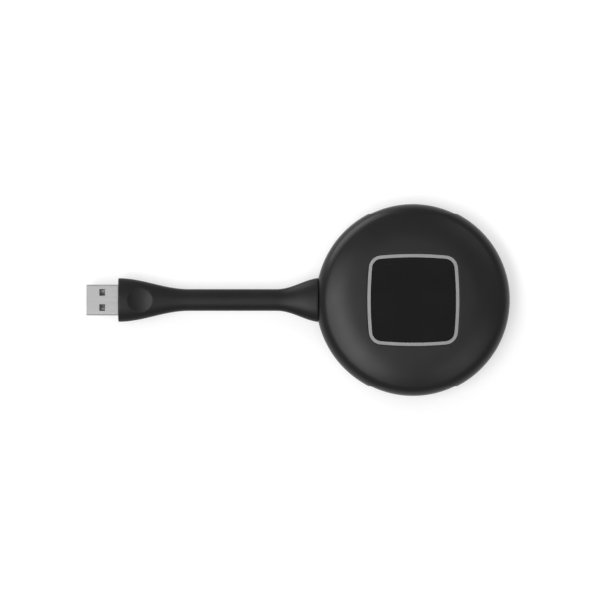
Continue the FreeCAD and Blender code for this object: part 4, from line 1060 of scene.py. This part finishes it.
CARRIED = {
    "screw_steel": ["housing_screws", "key_board_screws", "board_screws", "clamp_screws"],
    "button_plastic": ["button_carrier", "switch_plunger"],
    "white_plastic": ["reflector_frame", "cable_header", "cable_plug"],
    "led_resin": ["status_leds"],
    "board_laminate": ["key_board", "main_board"],
    "chip_resin": ["switch_body", "processor", "memory_chips", "flash_chip", "radio_chip",
                   "board_header", "board_socket"],
    "spring_steel": ["antenna_left", "antenna_right"],
    "can_steel": ["shield_can", "crystal"],
    "ferrite": ["power_inductors"],
    "capacitor_ceramic": ["capacitors"],
    "spreader_aluminium": ["heat_spreader"],
    "thermal_silicone": ["thermal_pad"],
    "case_plastic": ["cable_clamp"],
    "plug_plastic": ["plug_insulator", "plug_core"],
}


def carried_nodes():
    for slot, names in CARRIED.items():
        for name in names:
            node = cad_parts[name]
            node.data.materials.clear()
            node.data.materials.append(MATERIALS[slot])


# Stage, light and camera

FLOOR_SIZE = 6
FLOOR_DROP = 0.02 * MM
FLOOR_GREY = 0.6
FLOOR_GLOW = 0.42


def pale_floor():
    """White floor. It looks white to the camera and in reflections, and keeps the soft shadow."""
    bpy.ops.object.select_all(action="DESELECT")
    bpy.ops.mesh.primitive_plane_add(size=FLOOR_SIZE, location=(0, 0, -FLOOR_DROP))
    floor = named("floor")
    material = bpy.data.materials.new("floor_white")
    material.use_nodes = True
    nodes, links = material.node_tree.nodes, material.node_tree.links
    shader = nodes["Principled BSDF"]
    shader.inputs["Base Color"].default_value = (*grey(FLOOR_GREY), 1)
    shader.inputs["Roughness"].default_value = 0.9
    shader.inputs["Specular IOR Level"].default_value = 0.1
    glow = nodes.new("ShaderNodeEmission")
    path = nodes.new("ShaderNodeLightPath")
    both = nodes.new("ShaderNodeAddShader")

    def worked_out(operation, first, second):
        """Result of a math node. The second input is a socket or a plain number."""
        node = nodes.new("ShaderNodeMath")
        node.operation = operation
        links.new(first, node.inputs[0])
        if isinstance(second, float):
            node.inputs[1].default_value = second
        else:
            links.new(second, node.inputs[1])
        return node.outputs[0]

    seen = worked_out("MAXIMUM", path.outputs["Is Camera Ray"], path.outputs["Is Glossy Ray"])
    seen = worked_out("MAXIMUM", seen, path.outputs["Is Transmission Ray"])
    links.new(worked_out("MULTIPLY", seen, FLOOR_GLOW), glow.inputs["Strength"])
    links.new(shader.outputs[0], both.inputs[0])
    links.new(glow.outputs[0], both.inputs[1])
    links.new(both.outputs[0], nodes["Material Output"].inputs["Surface"])
    floor.data.materials.append(material)


# Soft lamps: name, angle from straight up, azimuth from +X, half angles along the slope and across it,
# brightness. Angles are in degrees.
LAMPS = (
    ("overhead", 0, 0, 14, 14, 0.85),
    ("left_box_high", 22, 203, 8, 14, 2.1),
    ("left_box", 30, 203, 13, 19, 2.7),
    ("left_box_back", 29, 169, 9, 10, 2.7),
    ("left_box_front", 29, 238, 9, 10, 3.2),
    ("front_right_box", 30, 312, 10, 12, 1.9),
    ("back_right_box", 42, 45, 9, 14, 1.2),
    ("back_strip", 64, 131, 10, 25, 3.2),
    ("low_back_strip", 84, 131, 9, 25, 5.6),
)
LAMP_DISTANCE = 2.5
LAMP_AIM = (-20 * MM, 0, 10 * MM)
WORLD_LIGHT = 0.526
# Camera: what it sees across at the seam's height, and where that lies. Its sensor is in millimetres.
VIEW_WIDTH = 234.15 * MM
VIEW_MIDDLE = -44.04 * MM
CAMERA_HEIGHT = 2.0
SENSOR_WIDTH = 36
CLIP_END = 20


def soft_lamp(name, slope, azimuth, half_along, half_across, brightness):
    """An elliptical soft lamp facing its aim, seen from there under the half angles given in degrees."""
    tilt, turn = math.radians(slope), math.radians(azimuth)
    way = (math.sin(tilt) * math.cos(turn), math.sin(tilt) * math.sin(turn), math.cos(tilt))
    light = bpy.data.lights.new(name, "AREA")
    light.shape = "ELLIPSE"
    light.size = 2 * LAMP_DISTANCE * math.tan(math.radians(half_across))
    light.size_y = 2 * LAMP_DISTANCE * math.tan(math.radians(half_along))
    light.energy = brightness * math.pi * math.pi / 4 * light.size * light.size_y
    lamp = bpy.data.objects.new(name, light)
    lamp.location = [aim + LAMP_DISTANCE * part for aim, part in zip(LAMP_AIM, way)]
    lamp.rotation_euler = (tilt, 0, turn + math.pi / 2)
    lamp.visible_camera = False
    bpy.context.scene.collection.objects.link(lamp)


def studio():
    world = bpy.data.worlds.new("studio")
    bpy.context.scene.world = world
    world.use_nodes = True
    background = world.node_tree.nodes["Background"]
    background.inputs["Color"].default_value = (1, 1, 1, 1)
    background.inputs["Strength"].default_value = WORLD_LIGHT
    for lamp in LAMPS:
        soft_lamp(*lamp)


def photo_camera():
    """Straight down from above the middle of the object, through a long lens."""
    data = bpy.data.cameras.new("photo_camera")
    data.sensor_width = SENSOR_WIDTH
    data.lens = SENSOR_WIDTH * (CAMERA_HEIGHT - SEAM_Z) / VIEW_WIDTH
    data.clip_end = CLIP_END
    camera = bpy.data.objects.new("photo_camera", data)
    camera.location = (VIEW_MIDDLE, 0, CAMERA_HEIGHT)
    bpy.context.scene.collection.objects.link(camera)
    bpy.context.scene.camera = camera


bpy.context.scene.view_settings.view_transform = "Standard"
photo_camera()
studio()
pale_floor()
carried_nodes()
top_cover()
bottom_cover()
foot_pad()
light_ring()
button()
snap_dome()
arm_root()
arm_tip()
cable()
plug_shell()
contacts()
